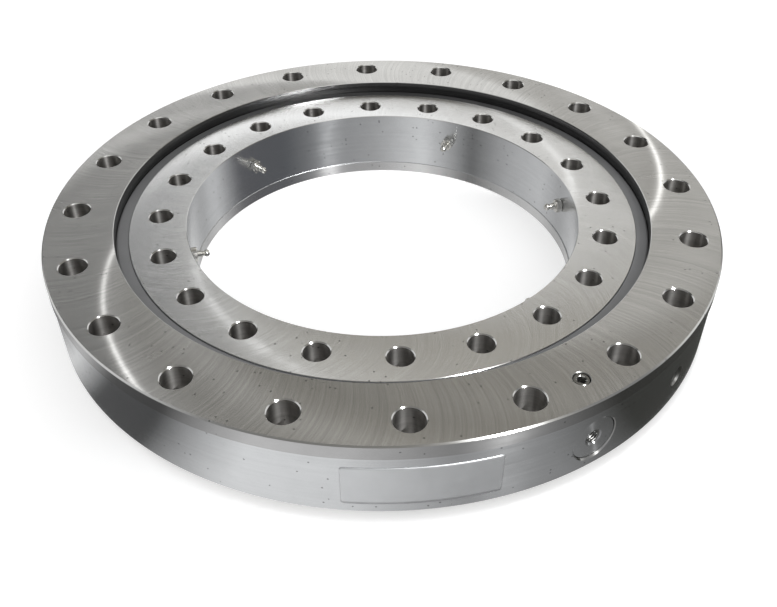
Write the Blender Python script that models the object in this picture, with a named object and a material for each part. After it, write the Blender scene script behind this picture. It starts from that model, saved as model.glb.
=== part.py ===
"""A single-row ball slewing ring: two drilled rings that turn on one row of caged balls.

The inner ring stands on the origin plane and the outer ring hangs on the balls, so its top
face stands proud of the inner ring and its bottom face clears the floor.
Units are metres and degrees, +Z is the axis of rotation, and -Y is the front.
"""

import math

import bmesh
import bpy
from mathutils import Matrix, Vector

# Radial build-up, from the bore outwards
BORE_DIAMETER = 0.337
BORE_TO_INNER_HOLES = 0.0225
INNER_HOLES_TO_BALLS = 0.03025
BALLS_TO_OUTER_HOLES = 0.03875
OUTER_HOLES_TO_RIM = 0.0225
RING_GAP = 0.0105

# Heights
INNER_RING_HEIGHT = 0.0635
TOP_OFFSET = 0.0095
BOTTOM_OFFSET = 0.008
BALL_ROW_DROP = 0.00175

# Turned details of the rings
EDGE_CHAMFER = 0.001
RIM_CHAMFER = 0.0015
SPIGOT_HEIGHT = 0.012
SPIGOT_STEP = 0.0008
RELIEF_WIDTH = 0.0008
RELIEF_DEPTH = 0.0006
BORE_BAND_HEIGHT = 0.010
BORE_BAND_STEP = 0.0006

# Bolt holes
HOLE_COUNT = 20
OUTER_HOLE_DIAMETER = 0.022
INNER_HOLE_DIAMETER = 0.020
HOLE_CHAMFER = 0.0012
FIRST_HOLE_ANGLE = -90.0

# Balls, raceway and cage
BALL_DIAMETER = 0.030
BALL_SPACING = 0.0386
RACE_RADIUS = 0.0159
RACE_CLEARANCE = 0.0004
CONTACT_ANGLE = 45.0
CAGE_WALL = 0.003
CAGE_RIM = 0.0026
POCKET_CLEARANCE = 0.0004

# Seals
SEAL_DEPTH = 0.001
SEAL_THICKNESS = 0.0042
SEAL_FOOT_HEIGHT = 0.0028
SEAL_FOOT_REACH = 0.0037
SEAL_HEEL = 0.0035
SEAL_LIP_HEIGHT = 0.0014
SEAL_LIP_SLOPE = 0.0008
LIP_CLEARANCE = 0.0004

# Filler plug, its locking screw and the lifting hole in the outer wall
PLUG_ANGLE = -63.0
PLUG_DIAMETER = 0.037
PLUG_RECESS = 0.0009
PLUG_CHAMFER = 0.0010
PLUG_TAP_DIAMETER = 0.0104
PLUG_TAP_DEPTH = 0.020
TAP_CHAMFER = 0.0014
LOCK_SCREW_DIAMETER = 0.012
LOCK_SCREW_RECESS = 0.0008
LOCK_SCREW_POINT = 0.0024
LOCK_SCREW_SOCKET = 0.006
LOCK_SCREW_SOCKET_DEPTH = 0.006
LIFT_HOLE_ANGLE = -44.0
LIFT_HOLE_DIAMETER = 0.014
LIFT_HOLE_DEPTH = 0.024
DRILL_POINT_ANGLE = 118.0
DRILL_POINT_RADIUS = 0.0007

# Grease nipples in the bore
NIPPLE_ANGLES = (9.0, 63.0, 135.0, 189.0, 243.0, 315.0)
NIPPLE_RISE = 0.006
NIPPLE_HEX = 0.011
NIPPLE_HEX_HEIGHT = 0.0055
NIPPLE_LENGTH = 0.0155
NIPPLE_THREAD_DIAMETER = 0.0097
NIPPLE_THREAD_LENGTH = 0.0075
NIPPLE_HEAD_DIAMETER = 0.0065
NIPPLE_HEAD_LENGTH = 0.0072
NIPPLE_NECK_DIAMETER = 0.0045
GREASE_CHANNEL_DIAMETER = 0.004

# Blank label on the outer wall
LABEL_ANGLE = -88.5
LABEL_WIDTH = 0.108
LABEL_HEIGHT = 0.036
LABEL_THICKNESS = 0.0002

# Gap left between touching pieces, and how far a cutter reaches past what it cuts
FIT_GAP = 0.0003
OVERCUT = 0.001

# Facets round each form
RING_FACETS = 60
HOLE_FACETS = 10
PLUG_FACETS = 24
POCKET_FACETS = 8
SMALL_FACETS = 8
HEX_SIDES = 6
RACE_STEPS = 3
LABEL_COLUMNS = 8
SMOOTH_ANGLE = 32.0

# Radii and heights that follow from the sizes above
BORE_RADIUS = BORE_DIAMETER / 2
INNER_HOLES_RADIUS = BORE_RADIUS + BORE_TO_INNER_HOLES
BALL_ROW_RADIUS = INNER_HOLES_RADIUS + INNER_HOLES_TO_BALLS
OUTER_HOLES_RADIUS = BALL_ROW_RADIUS + BALLS_TO_OUTER_HOLES
SPIGOT_RADIUS = OUTER_HOLES_RADIUS + OUTER_HOLES_TO_RIM
WALL_RADIUS = SPIGOT_RADIUS - SPIGOT_STEP
INNER_LAND_RADIUS = BALL_ROW_RADIUS - RING_GAP / 2
OUTER_LAND_RADIUS = BALL_ROW_RADIUS + RING_GAP / 2
OUTER_TOP = INNER_RING_HEIGHT + TOP_OFFSET
BALL_ROW_HEIGHT = (INNER_RING_HEIGHT + BOTTOM_OFFSET) / 2 - BALL_ROW_DROP
NIPPLE_HEIGHT = BALL_ROW_HEIGHT + NIPPLE_RISE
BALL_RADIUS = BALL_DIAMETER / 2
BALL_COUNT = round(math.tau * BALL_ROW_RADIUS / BALL_SPACING)
PLUG_RADIUS = PLUG_DIAMETER / 2
WALL_MIDDLE_RADIUS = math.sqrt(WALL_RADIUS**2 - PLUG_RADIUS**2)
PLUG_FACE_RADIUS = WALL_MIDDLE_RADIUS - PLUG_RECESS


def clear_scene():
    """Remove every object, so that the script can be run again in an open file."""
    for old in list(bpy.data.objects):
        bpy.data.objects.remove(old, do_unlink=True)


def make_material(name, color, roughness, metallic):
    """One Principled material for a kind of stock."""
    material = bpy.data.materials.new(name)
    material.use_nodes = True
    shader = material.node_tree.nodes["Principled BSDF"]
    shader.inputs["Base Color"].default_value = (*color, 1.0)
    shader.inputs["Roughness"].default_value = roughness
    shader.inputs["Metallic"].default_value = metallic
    return material


def make_axis(name):
    """An empty on the ring's axis, for the pieces that turn together."""
    axis = bpy.data.objects.new(name, None)
    bpy.context.collection.objects.link(axis)
    return axis


def make_object(name, bm, material, parent=None):
    """Turn a bmesh into a named object with smooth round faces."""
    bmesh.ops.recalc_face_normals(bm, faces=bm.faces)
    mesh = bpy.data.meshes.new(name)
    bm.to_mesh(mesh)
    bm.free()
    mesh.materials.append(material)
    mesh.shade_smooth()
    mesh.set_sharp_from_angle(angle=math.radians(SMOOTH_ANGLE))
    made = bpy.data.objects.new(name, mesh)
    bpy.context.collection.objects.link(made)
    made.parent = parent
    return made


def make_cutter(name, bm, material):
    """A guide solid that only shapes another piece."""
    cutter = make_object(name, bm, material)
    cutter.hide_render = True
    cutter.display_type = "WIRE"
    return cutter


def combine(target, cutter, operation="DIFFERENCE"):
    """Cut one solid with another, or keep what they share."""
    modifier = target.modifiers.new(cutter.name, "BOOLEAN")
    modifier.operation = operation
    modifier.solver = "EXACT"
    modifier.object = cutter


def across_flats(radius, facets):
    """The corner radius of a facetted hole whose flats lie on the true circle."""
    return radius / math.cos(math.pi / facets)


def polar(radius, degrees, height):
    """A point from its radius, angle and height about the ring's axis."""
    angle = math.radians(degrees)
    return Vector((radius * math.cos(angle), radius * math.sin(angle), height))


def radial_frame(degrees, height):
    """Turns a form made along +Z so that it points outwards from the ring's axis."""
    turn = Matrix.Rotation(math.radians(degrees), 4, "Z")
    return turn @ Matrix.Translation((0, 0, height)) @ Matrix.Rotation(math.pi / 2, 4, "Y")


def revolve(profile, facets, twist=0.0):
    """A ring turned from a closed outline of (radius, height) points.

    twist turns the corners, as a share of one facet.
    """
    bm = bmesh.new()
    loops = []
    for i in range(facets):
        degrees = FIRST_HOLE_ANGLE + 360.0 * (i + twist) / facets
        loops.append([bm.verts.new(polar(r, degrees, z)) for r, z in profile])
    for i, loop in enumerate(loops):
        after = loops[(i + 1) % facets]
        for j in range(len(profile)):
            k = (j + 1) % len(profile)
            bm.faces.new((loop[j], after[j], after[k], loop[k]))
    return bm


def lathe(sections, facets, frames):
    """Solid bars along +Z from (height, corner radius) sections, one bar for each frame.

    The middle of a flat, and not a corner, points along +X.
    """
    bm = bmesh.new()
    for frame in frames:
        loops = []
        for height, radius in sections:
            loop = []
            for i in range(facets):
                angle = math.tau * (i + 0.5) / facets
                point = Vector((radius * math.cos(angle), radius * math.sin(angle), height))
                loop.append(bm.verts.new(frame @ point))
            loops.append(loop)
        for low, high in zip(loops, loops[1:]):
            for i in range(facets):
                k = (i + 1) % facets
                bm.faces.new((low[i], low[k], high[k], high[i]))
        bm.faces.new(reversed(loops[0]))
        bm.faces.new(loops[-1])
    return bm


def raceway(side):
    """Half of a four-point raceway as (radius, height) points, from bottom to top.

    side is +1 for the outer ring and -1 for the inner ring. Two arcs meet in a point at the
    ball's equator, and each arc's centre is shifted so that it touches the ball at the
    contact angle. The points lie outside the true arcs, so that their chords clear the ball.
    """
    shift = RACE_RADIUS - BALL_RADIUS - RACE_CLEARANCE
    aside = shift * math.cos(math.radians(CONTACT_ANGLE))
    above = shift * math.sin(math.radians(CONTACT_ANGLE))
    first = math.asin(above / RACE_RADIUS)
    last = math.acos((RING_GAP / 2 + aside) / RACE_RADIUS)
    step = (last - first) / RACE_STEPS
    reach = RACE_RADIUS / math.cos(step / 2)
    upper = []
    for i in range(RACE_STEPS + 1):
        angle = first + step * i
        across = reach * math.cos(angle) - aside
        upper.append((across, reach * math.sin(angle) - above))
    lower = [(across, -height) for across, height in reversed(upper[1:])]
    points = []
    for across, height in lower + upper:
        radius = BALL_ROW_RADIUS + side * across
        points.append((radius, BALL_ROW_HEIGHT + height))
    return points


def seal_groove(side, face, inward):
    """The square groove for a seal's foot: (radius, height) points, from the face inwards.

    side is the ring as in raceway, face the height of the ring's end face, and inward is -1
    where the ring's body lies below that face.
    """
    land = BALL_ROW_RADIUS + side * RING_GAP / 2
    bottom = land + side * (SEAL_FOOT_REACH + FIT_GAP)
    near = face + inward * (SEAL_DEPTH + SEAL_THICKNESS - SEAL_FOOT_HEIGHT - FIT_GAP)
    far = face + inward * (SEAL_DEPTH + SEAL_THICKNESS + FIT_GAP)
    return [(land, near), (bottom, near), (bottom, far), (land, far)]


def seal_profile(side, face, inward):
    """A rubber seal: a foot in its ring's groove, and a lip that runs on the other ring."""
    land = BALL_ROW_RADIUS + side * RING_GAP / 2
    other = BALL_ROW_RADIUS - side * RING_GAP / 2
    back = land + side * SEAL_FOOT_REACH
    front = land - side * FIT_GAP
    lip = other + side * LIP_CLEARANCE
    heel = land - side * SEAL_HEEL
    top = face + inward * SEAL_DEPTH
    foot_top = top + inward * (SEAL_THICKNESS - SEAL_FOOT_HEIGHT)
    bottom = top + inward * SEAL_THICKNESS
    lip_top = top + inward * SEAL_LIP_SLOPE
    return [
        (back, bottom),
        (heel, bottom),
        (lip, lip_top + inward * SEAL_LIP_HEIGHT),
        (lip, lip_top),
        (front, top),
        (front, foot_top),
        (back, foot_top),
    ]


def spread_concave(profile, facets, limit):
    """Move the points of a ring's inner wall out, so that its flats lie on the true circle."""
    return [(across_flats(r, facets) if r < limit else r, z) for r, z in profile]


def outer_ring_profile():
    """Section of the outer ring, with its spigot, relief groove, raceway and seal groove."""
    land = OUTER_LAND_RADIUS
    shoulder = OUTER_TOP - SPIGOT_HEIGHT
    inside = [(land + EDGE_CHAMFER, BOTTOM_OFFSET), (land, BOTTOM_OFFSET + EDGE_CHAMFER)]
    inside += seal_groove(1, BOTTOM_OFFSET, 1)
    inside += raceway(1)
    inside += [(land, OUTER_TOP - EDGE_CHAMFER), (land + EDGE_CHAMFER, OUTER_TOP)]
    outside = [
        (SPIGOT_RADIUS - RIM_CHAMFER, OUTER_TOP),
        (SPIGOT_RADIUS, OUTER_TOP - RIM_CHAMFER),
        (SPIGOT_RADIUS, shoulder),
        (WALL_RADIUS - RELIEF_DEPTH, shoulder),
        (WALL_RADIUS - RELIEF_DEPTH, shoulder - RELIEF_WIDTH),
        (WALL_RADIUS, shoulder - RELIEF_WIDTH),
        (WALL_RADIUS, BOTTOM_OFFSET + EDGE_CHAMFER),
        (WALL_RADIUS - EDGE_CHAMFER, BOTTOM_OFFSET),
    ]
    return spread_concave(inside, RING_FACETS, OUTER_HOLES_RADIUS) + outside


def inner_ring_profile():
    """Section of the inner ring, with its bore band, raceway and upper seal groove."""
    top = INNER_RING_HEIGHT
    band = BORE_RADIUS - BORE_BAND_STEP
    land = INNER_LAND_RADIUS
    bore = [
        (BORE_RADIUS + EDGE_CHAMFER, top),
        (BORE_RADIUS, top - EDGE_CHAMFER),
        (BORE_RADIUS, BORE_BAND_HEIGHT),
        (band, BORE_BAND_HEIGHT),
        (band, EDGE_CHAMFER),
        (band + EDGE_CHAMFER, 0.0),
    ]
    outside = [(land - EDGE_CHAMFER, 0.0), (land, EDGE_CHAMFER)]
    outside += raceway(-1)
    outside += reversed(seal_groove(-1, top, -1))
    outside += [(land, top - EDGE_CHAMFER), (land - EDGE_CHAMFER, top)]
    return spread_concave(bore, RING_FACETS, INNER_HOLES_RADIUS) + outside


def bolt_hole_cutter(name, diameter, bolt_radius, low, high, material):
    """Every chamfered through hole of one bolt circle, as a set of spools."""
    hole = across_flats(diameter / 2, HOLE_FACETS)
    flare = hole + HOLE_CHAMFER + OVERCUT
    sections = [
        (low - OVERCUT, flare),
        (low + HOLE_CHAMFER, hole),
        (high - HOLE_CHAMFER, hole),
        (high + OVERCUT, flare),
    ]
    frames = []
    for i in range(HOLE_COUNT):
        degrees = FIRST_HOLE_ANGLE + 360.0 * i / HOLE_COUNT
        frames.append(Matrix.Translation(polar(bolt_radius, degrees, 0)))
    return make_cutter(name, lathe(sections, HOLE_FACETS, frames), material)


def wall_bore_cutter(name, degrees, inner_end, radius, mouth_chamfer, facets, material):
    """A radial bore in the outer wall with a chamfered mouth, open at its inner end."""
    corner = across_flats(radius, facets)
    mouth = math.sqrt(WALL_RADIUS**2 - radius**2)
    sections = [
        (inner_end, corner),
        (mouth - mouth_chamfer, corner),
        (mouth + OVERCUT, corner + mouth_chamfer + OVERCUT),
        (SPIGOT_RADIUS + OVERCUT, corner + mouth_chamfer + OVERCUT),
    ]
    frame = radial_frame(degrees, BALL_ROW_HEIGHT)
    return make_cutter(name, lathe(sections, facets, (frame,)), material)


def lift_hole_cutter(material):
    """The blind tapped hole beside the plug, drilled to a point."""
    radius = LIFT_HOLE_DIAMETER / 2
    corner = across_flats(radius, HOLE_FACETS)
    mouth = math.sqrt(WALL_RADIUS**2 - radius**2)
    bottom = mouth - LIFT_HOLE_DEPTH
    point_length = (radius - DRILL_POINT_RADIUS) / math.tan(math.radians(DRILL_POINT_ANGLE / 2))
    sections = [
        (bottom - point_length, DRILL_POINT_RADIUS),
        (bottom, corner),
        (mouth - TAP_CHAMFER, corner),
        (mouth + OVERCUT, corner + TAP_CHAMFER + OVERCUT),
    ]
    frame = radial_frame(LIFT_HOLE_ANGLE, BALL_ROW_HEIGHT)
    return make_cutter("cut_lift_hole", lathe(sections, HOLE_FACETS, (frame,)), material)


def lock_hole_cutter(material):
    """The vertical tapped hole that leads the locking screw onto the filler plug."""
    corner = across_flats(LOCK_SCREW_DIAMETER / 2 + FIT_GAP, HOLE_FACETS)
    sections = [
        (BALL_ROW_HEIGHT + PLUG_RADIUS / 2, corner),
        (OUTER_TOP - HOLE_CHAMFER / 2, corner),
        (OUTER_TOP + OVERCUT, corner + HOLE_CHAMFER / 2 + OVERCUT),
    ]
    frame = Matrix.Translation(polar(OUTER_HOLES_RADIUS, PLUG_ANGLE, 0))
    return make_cutter("cut_lock_hole", lathe(sections, HOLE_FACETS, (frame,)), material)


def make_outer_ring(steel, axis):
    """The outer ring, drilled for its bolts, filler plug, locking screw and lifting hole."""
    ring = make_object("outer_ring", revolve(outer_ring_profile(), RING_FACETS), steel, axis)
    cutters = (
        bolt_hole_cutter(
            "cut_outer_holes",
            OUTER_HOLE_DIAMETER,
            OUTER_HOLES_RADIUS,
            BOTTOM_OFFSET,
            OUTER_TOP,
            steel,
        ),
        wall_bore_cutter(
            "cut_plug_bore",
            PLUG_ANGLE,
            BALL_ROW_RADIUS,
            PLUG_RADIUS,
            PLUG_CHAMFER,
            PLUG_FACETS,
            steel,
        ),
        lift_hole_cutter(steel),
        lock_hole_cutter(steel),
    )
    for cutter in cutters:
        combine(ring, cutter)
    return ring


def grease_channel_cutter(material):
    """Threaded seats for the nipples and the channels behind them, into the raceway."""
    seat = across_flats(NIPPLE_THREAD_DIAMETER / 2 + FIT_GAP, SMALL_FACETS)
    channel = GREASE_CHANNEL_DIAMETER / 2
    seat_end = BORE_RADIUS + NIPPLE_THREAD_LENGTH + FIT_GAP
    sections = [
        (BORE_RADIUS - NIPPLE_HEX, seat),
        (seat_end, seat),
        (seat_end + seat - channel, channel),
        (BALL_ROW_RADIUS - BALL_RADIUS + OVERCUT, channel),
    ]
    frames = [radial_frame(angle, NIPPLE_HEIGHT) for angle in NIPPLE_ANGLES]
    return make_cutter("cut_grease_channels", lathe(sections, SMALL_FACETS, frames), material)


def make_inner_ring(steel):
    """The inner ring, drilled for its bolts and for the grease nipples."""
    ring = make_object("inner_ring", revolve(inner_ring_profile(), RING_FACETS), steel)
    holes = bolt_hole_cutter(
        "cut_inner_holes",
        INNER_HOLE_DIAMETER,
        INNER_HOLES_RADIUS,
        0.0,
        INNER_RING_HEIGHT,
        steel,
    )
    combine(ring, holes)
    combine(ring, grease_channel_cutter(steel))
    return ring


def make_seals(rubber, outer_axis):
    """The upper seal sits in the inner ring, and the lower seal in the outer ring."""
    upper = seal_profile(-1, INNER_RING_HEIGHT, -1)
    make_object("upper_seal", revolve(upper, RING_FACETS), rubber)
    lower = spread_concave(seal_profile(1, BOTTOM_OFFSET, 1), RING_FACETS, BALL_ROW_RADIUS)
    make_object("lower_seal", revolve(lower, RING_FACETS), rubber, outer_axis)


def make_filler_plug(steel, axis):
    """The plug that closes the ball filling bore, and carries its share of the raceway."""
    corner = across_flats(PLUG_RADIUS, PLUG_FACETS) - FIT_GAP
    sections = [
        (BALL_ROW_RADIUS, corner),
        (PLUG_FACE_RADIUS - PLUG_CHAMFER, corner),
        (PLUG_FACE_RADIUS, corner - PLUG_CHAMFER),
    ]
    frame = radial_frame(PLUG_ANGLE, BALL_ROW_HEIGHT)
    plug = make_object("filler_plug", lathe(sections, PLUG_FACETS, (frame,)), steel, axis)
    blank = make_cutter("keep_ring_section", revolve(outer_ring_profile(), RING_FACETS), steel)
    combine(plug, blank, "INTERSECT")
    tap = across_flats(PLUG_TAP_DIAMETER / 2, HOLE_FACETS)
    tap_sections = [
        (PLUG_FACE_RADIUS - PLUG_TAP_DEPTH, tap),
        (PLUG_FACE_RADIUS - TAP_CHAMFER, tap),
        (PLUG_FACE_RADIUS + OVERCUT, tap + TAP_CHAMFER + OVERCUT),
    ]
    combine(plug, make_cutter("cut_plug_tap", lathe(tap_sections, HOLE_FACETS, (frame,)), steel))
    combine(plug, make_cutter("cut_plug_dimple", lock_point(FIT_GAP), steel))
    return plug


def lock_point(gap):
    """The cone at the locking screw's tip, as a solid that stands on the plug's crown."""
    crown = BALL_ROW_HEIGHT + PLUG_RADIUS
    wide = LOCK_SCREW_DIAMETER / 2
    tip = wide - LOCK_SCREW_POINT
    low = crown - LOCK_SCREW_POINT / 2 - gap
    sections = [(low, tip), (low + LOCK_SCREW_POINT, wide), (crown + PLUG_RADIUS, wide)]
    sections = [(height, radius + gap / 2) for height, radius in sections]
    frame = Matrix.Translation(polar(OUTER_HOLES_RADIUS, PLUG_ANGLE, 0))
    return lathe(sections, HOLE_FACETS, (frame,))


def make_lock_screw(steel, axis):
    """The socket set screw that presses its point into the filler plug."""
    wide = LOCK_SCREW_DIAMETER / 2
    tip = wide - LOCK_SCREW_POINT
    low = BALL_ROW_HEIGHT + PLUG_RADIUS - LOCK_SCREW_POINT / 2
    high = OUTER_TOP - LOCK_SCREW_RECESS
    sections = [(low, tip), (low + LOCK_SCREW_POINT, wide), (high, wide)]
    frame = Matrix.Translation(polar(OUTER_HOLES_RADIUS, PLUG_ANGLE, 0))
    screw = make_object("plug_lock_screw", lathe(sections, HOLE_FACETS, (frame,)), steel, axis)
    hex_corner = across_flats(LOCK_SCREW_SOCKET / 2, HEX_SIDES)
    socket = [(high - LOCK_SCREW_SOCKET_DEPTH, hex_corner), (high + OVERCUT, hex_corner)]
    combine(screw, make_cutter("cut_socket", lathe(socket, HEX_SIDES, (frame,)), steel))


def make_nipple(index, degrees, steel):
    """A grease nipple whose hexagon seats on the bore wall and whose head points inwards."""
    hexagon = across_flats(NIPPLE_HEX / 2, HEX_SIDES)
    thread = NIPPLE_THREAD_DIAMETER / 2
    neck = NIPPLE_NECK_DIAMETER / 2
    head = NIPPLE_HEAD_DIAMETER / 2
    seat = -(math.sqrt(BORE_RADIUS**2 - hexagon**2) - FIT_GAP)
    shoulder = seat + NIPPLE_HEX_HEIGHT
    tip = seat + NIPPLE_LENGTH
    sections = [
        (-(BORE_RADIUS + NIPPLE_THREAD_LENGTH), thread),
        (seat, thread),
        (seat, hexagon),
        (shoulder, hexagon),
        (shoulder, head),
        (tip - NIPPLE_HEAD_LENGTH, neck),
        (tip - head, head),
        (tip, neck),
    ]
    frame = radial_frame(degrees + 180.0, NIPPLE_HEIGHT)
    return make_object("grease_nipple_%d" % index, lathe(sections, HEX_SIDES, (frame,)), steel)


def make_cage(polyamide, axis):
    """The band that spaces the balls, with one flat panel and one pocket for each."""
    middle = BALL_ROW_RADIUS
    half_wall = CAGE_WALL / 2
    pocket = BALL_RADIUS + POCKET_CLEARANCE
    half_height = pocket + CAGE_RIM
    low = BALL_ROW_HEIGHT - half_height
    high = BALL_ROW_HEIGHT + half_height
    section = [
        (middle - half_wall, low),
        (middle + half_wall, low),
        (middle + half_wall, high),
        (middle - half_wall, high),
    ]
    band = revolve(section, BALL_COUNT, twist=0.5)
    cage = make_object("ball_cage", band, polyamide, axis)
    corner = across_flats(pocket, POCKET_FACETS)
    sections = [(middle - CAGE_WALL, corner), (middle + CAGE_WALL, corner)]
    frames = [radial_frame(ball_angle(i), BALL_ROW_HEIGHT) for i in range(BALL_COUNT)]
    combine(cage, make_cutter("cut_pockets", lathe(sections, POCKET_FACETS, frames), polyamide))
    return cage


def ball_angle(index):
    """The angle of one ball, counted from the first bolt hole."""
    return FIRST_HOLE_ANGLE + 360.0 * index / BALL_COUNT


def make_balls(steel, axis):
    """The row of balls, which all share one mesh."""
    bm = bmesh.new()
    bmesh.ops.create_icosphere(bm, subdivisions=2, radius=BALL_RADIUS)
    first = make_object("ball_01", bm, steel, axis)
    first.data.shade_smooth()
    first.location = polar(BALL_ROW_RADIUS, ball_angle(0), BALL_ROW_HEIGHT)
    for i in range(1, BALL_COUNT):
        ball = bpy.data.objects.new("ball_%02d" % (i + 1), first.data)
        bpy.context.collection.objects.link(ball)
        ball.parent = axis
        ball.location = polar(BALL_ROW_RADIUS, ball_angle(i), BALL_ROW_HEIGHT)


def make_label(film, axis):
    """The blank film label, bent round the outer wall."""
    inner = WALL_RADIUS + FIT_GAP
    outer = inner + LABEL_THICKNESS
    middle = BALL_ROW_HEIGHT
    half_angle = math.degrees(LABEL_WIDTH / 2 / inner)
    bm = bmesh.new()
    loops = []
    for i in range(LABEL_COLUMNS + 1):
        degrees = LABEL_ANGLE - half_angle + 2 * half_angle * i / LABEL_COLUMNS
        corners = (
            (inner, middle - LABEL_HEIGHT / 2),
            (outer, middle - LABEL_HEIGHT / 2),
            (outer, middle + LABEL_HEIGHT / 2),
            (inner, middle + LABEL_HEIGHT / 2),
        )
        loops.append([bm.verts.new(polar(r, degrees, z)) for r, z in corners])
    for loop, after in zip(loops, loops[1:]):
        for j in range(4):
            k = (j + 1) % 4
            bm.faces.new((loop[j], loop[k], after[k], after[j]))
    bm.faces.new(loops[0])
    bm.faces.new(reversed(loops[-1]))
    return make_object("label", bm, film, axis)


def build():
    """Model every piece of the bearing."""
    clear_scene()
    ring_steel = make_material("ring_steel", (0.62, 0.61, 0.60), 0.28, 1.0)
    ball_steel = make_material("ball_steel", (0.70, 0.70, 0.71), 0.10, 1.0)
    plated_steel = make_material("plated_steel", (0.66, 0.65, 0.60), 0.30, 1.0)
    black_steel = make_material("black_steel", (0.16, 0.16, 0.16), 0.42, 1.0)
    rubber = make_material("seal_rubber", (0.055, 0.056, 0.060), 0.65, 0.0)
    polyamide = make_material("cage_polyamide", (0.72, 0.69, 0.60), 0.55, 0.0)
    film = make_material("label_film", (0.55, 0.56, 0.57), 0.35, 0.0)

    outer_axis = make_axis("outer_ring_axis")
    train_axis = make_axis("ball_train_axis")

    make_inner_ring(ring_steel)
    for index, degrees in enumerate(NIPPLE_ANGLES, start=1):
        make_nipple(index, degrees, plated_steel)
    make_outer_ring(ring_steel, outer_axis)
    make_filler_plug(ring_steel, outer_axis)
    make_lock_screw(black_steel, outer_axis)
    make_label(film, outer_axis)
    make_seals(rubber, outer_axis)
    make_cage(polyamide, train_axis)
    make_balls(ball_steel, train_axis)


build()
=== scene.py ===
# %% [markdown]
# # A ball slewing ring
#
# The object is a large flat bearing: two drilled steel rings that turn on one row of balls. Nearly
# all of its look comes from machined steel. The cutter's marks bend every reflection into a streak,
# so the marks and their direction matter more here than colour does.
#
# The solids with their true sizes are loaded first. This script then lays a finer surface over
# each of them and never moves or resizes them.

import functools
import math

import bmesh
import bpy
from mathutils import Matrix, Vector


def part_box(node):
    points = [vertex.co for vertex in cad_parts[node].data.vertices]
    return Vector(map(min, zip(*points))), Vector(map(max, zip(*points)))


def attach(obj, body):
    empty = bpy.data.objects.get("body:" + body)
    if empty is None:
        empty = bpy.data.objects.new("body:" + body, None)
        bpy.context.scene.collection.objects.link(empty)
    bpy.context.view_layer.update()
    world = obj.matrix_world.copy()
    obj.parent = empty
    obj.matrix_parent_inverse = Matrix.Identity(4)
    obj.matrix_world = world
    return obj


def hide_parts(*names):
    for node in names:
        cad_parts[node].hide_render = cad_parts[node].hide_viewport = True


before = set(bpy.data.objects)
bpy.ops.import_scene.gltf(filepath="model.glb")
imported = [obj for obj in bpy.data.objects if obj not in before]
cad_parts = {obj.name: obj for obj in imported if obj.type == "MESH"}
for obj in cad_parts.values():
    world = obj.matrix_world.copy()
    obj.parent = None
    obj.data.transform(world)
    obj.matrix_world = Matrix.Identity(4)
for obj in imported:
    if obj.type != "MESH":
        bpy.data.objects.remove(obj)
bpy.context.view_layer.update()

# %% [markdown]
# ## Sizes
#
# Whatever a box round a solid can tell is measured from it. The section of a turned ring can't be
# read from a box, so its few sizes are written once here, in metres, and all profiles use them.

# %% Measure the solids
outer_low, outer_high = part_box("outer_ring")
inner_low, inner_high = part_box("inner_ring")
seal_low, seal_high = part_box("upper_seal")
plug_low, plug_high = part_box("filler_plug")
label_low, label_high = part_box("label")

OUTER_TOP = outer_high.z
OUTER_BOTTOM = outer_low.z
INNER_TOP = inner_high.z
SPIGOT_RADIUS = outer_high.x
INNER_LAND = inner_high.x
PLUG_AXIS_HEIGHT = (plug_low.z + plug_high.z) / 2
LABEL_HEIGHT = label_high.z - label_low.z


def place_of(node):
    """Radius, angle in degrees and height of a solid's middle about the ring's axis."""
    low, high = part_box(node)
    middle = (low + high) / 2
    degrees = math.degrees(math.atan2(middle.y, middle.x))
    return math.hypot(middle.x, middle.y), degrees, middle.z


LOCK_RADIUS, PLUG_ANGLE, LOCK_HEIGHT = place_of("plug_lock_screw")
LABEL_ANGLE = place_of("label")[1]
NIPPLES = sorted(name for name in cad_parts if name.startswith("grease_nipple"))
BALLS = sorted(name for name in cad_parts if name.startswith("ball_") and name != "ball_cage")
print("top %.4f, rim radius %.4f, plug at %.1f degrees" % (OUTER_TOP, SPIGOT_RADIUS, PLUG_ANGLE))

# %% Sizes of the turned sections
BORE_RADIUS = 0.1685
INNER_HOLES_RADIUS = 0.191
OUTER_HOLES_RADIUS = LOCK_RADIUS
WALL_RADIUS = 0.2817
RING_GAP = 0.0105
BALL_ROW_RADIUS = INNER_LAND + RING_GAP / 2
OUTER_LAND = INNER_LAND + RING_GAP
EDGE_CHAMFER = 0.0004
RIM_CHAMFER = 0.0011
SPIGOT_HEIGHT = 0.012
RELIEF_WIDTH = 0.0008
RELIEF_DEPTH = 0.0006
BAND_HEIGHT = 0.010
BAND_STEP = 0.0006
HOLE_COUNT = 20
OUTER_HOLE_RADIUS = 0.011
INNER_HOLE_RADIUS = 0.010
HOLE_CHAMFER = 0.0008
FIRST_HOLE = -90.0
BALL_RADIUS = 0.015
RACE_RADIUS = 0.0159
RACE_CLEARANCE = 0.0004
FIT_GAP = 0.0003
OVERCUT = 0.001
RING_SEGMENTS = 360
ROUND_SEGMENTS = 48
SMOOTH_ANGLE = math.radians(28)
print("ball row radius %.4f, gap %.4f" % (BALL_ROW_RADIUS, RING_GAP))

# %% [markdown]
# ## Camera
#
# The photograph was taken from the front, looking down at about 40 degrees from two thirds of a
# metre. The lens follows from how much the far holes shrink against the near ones.

# %% Camera
CAMERA_TARGET = Vector((-0.0051, -0.1437, OUTER_TOP))
CAMERA_DISTANCE = 0.6418
CAMERA_AZIMUTH = math.radians(-4.02)
CAMERA_ELEVATION = math.radians(39.588)
CAMERA_ROLL = math.radians(0.1424)
CAMERA_LENS_MM = 40.288
SENSOR_MM = 36.0
NEAREST_VIEW = 0.01


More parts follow.
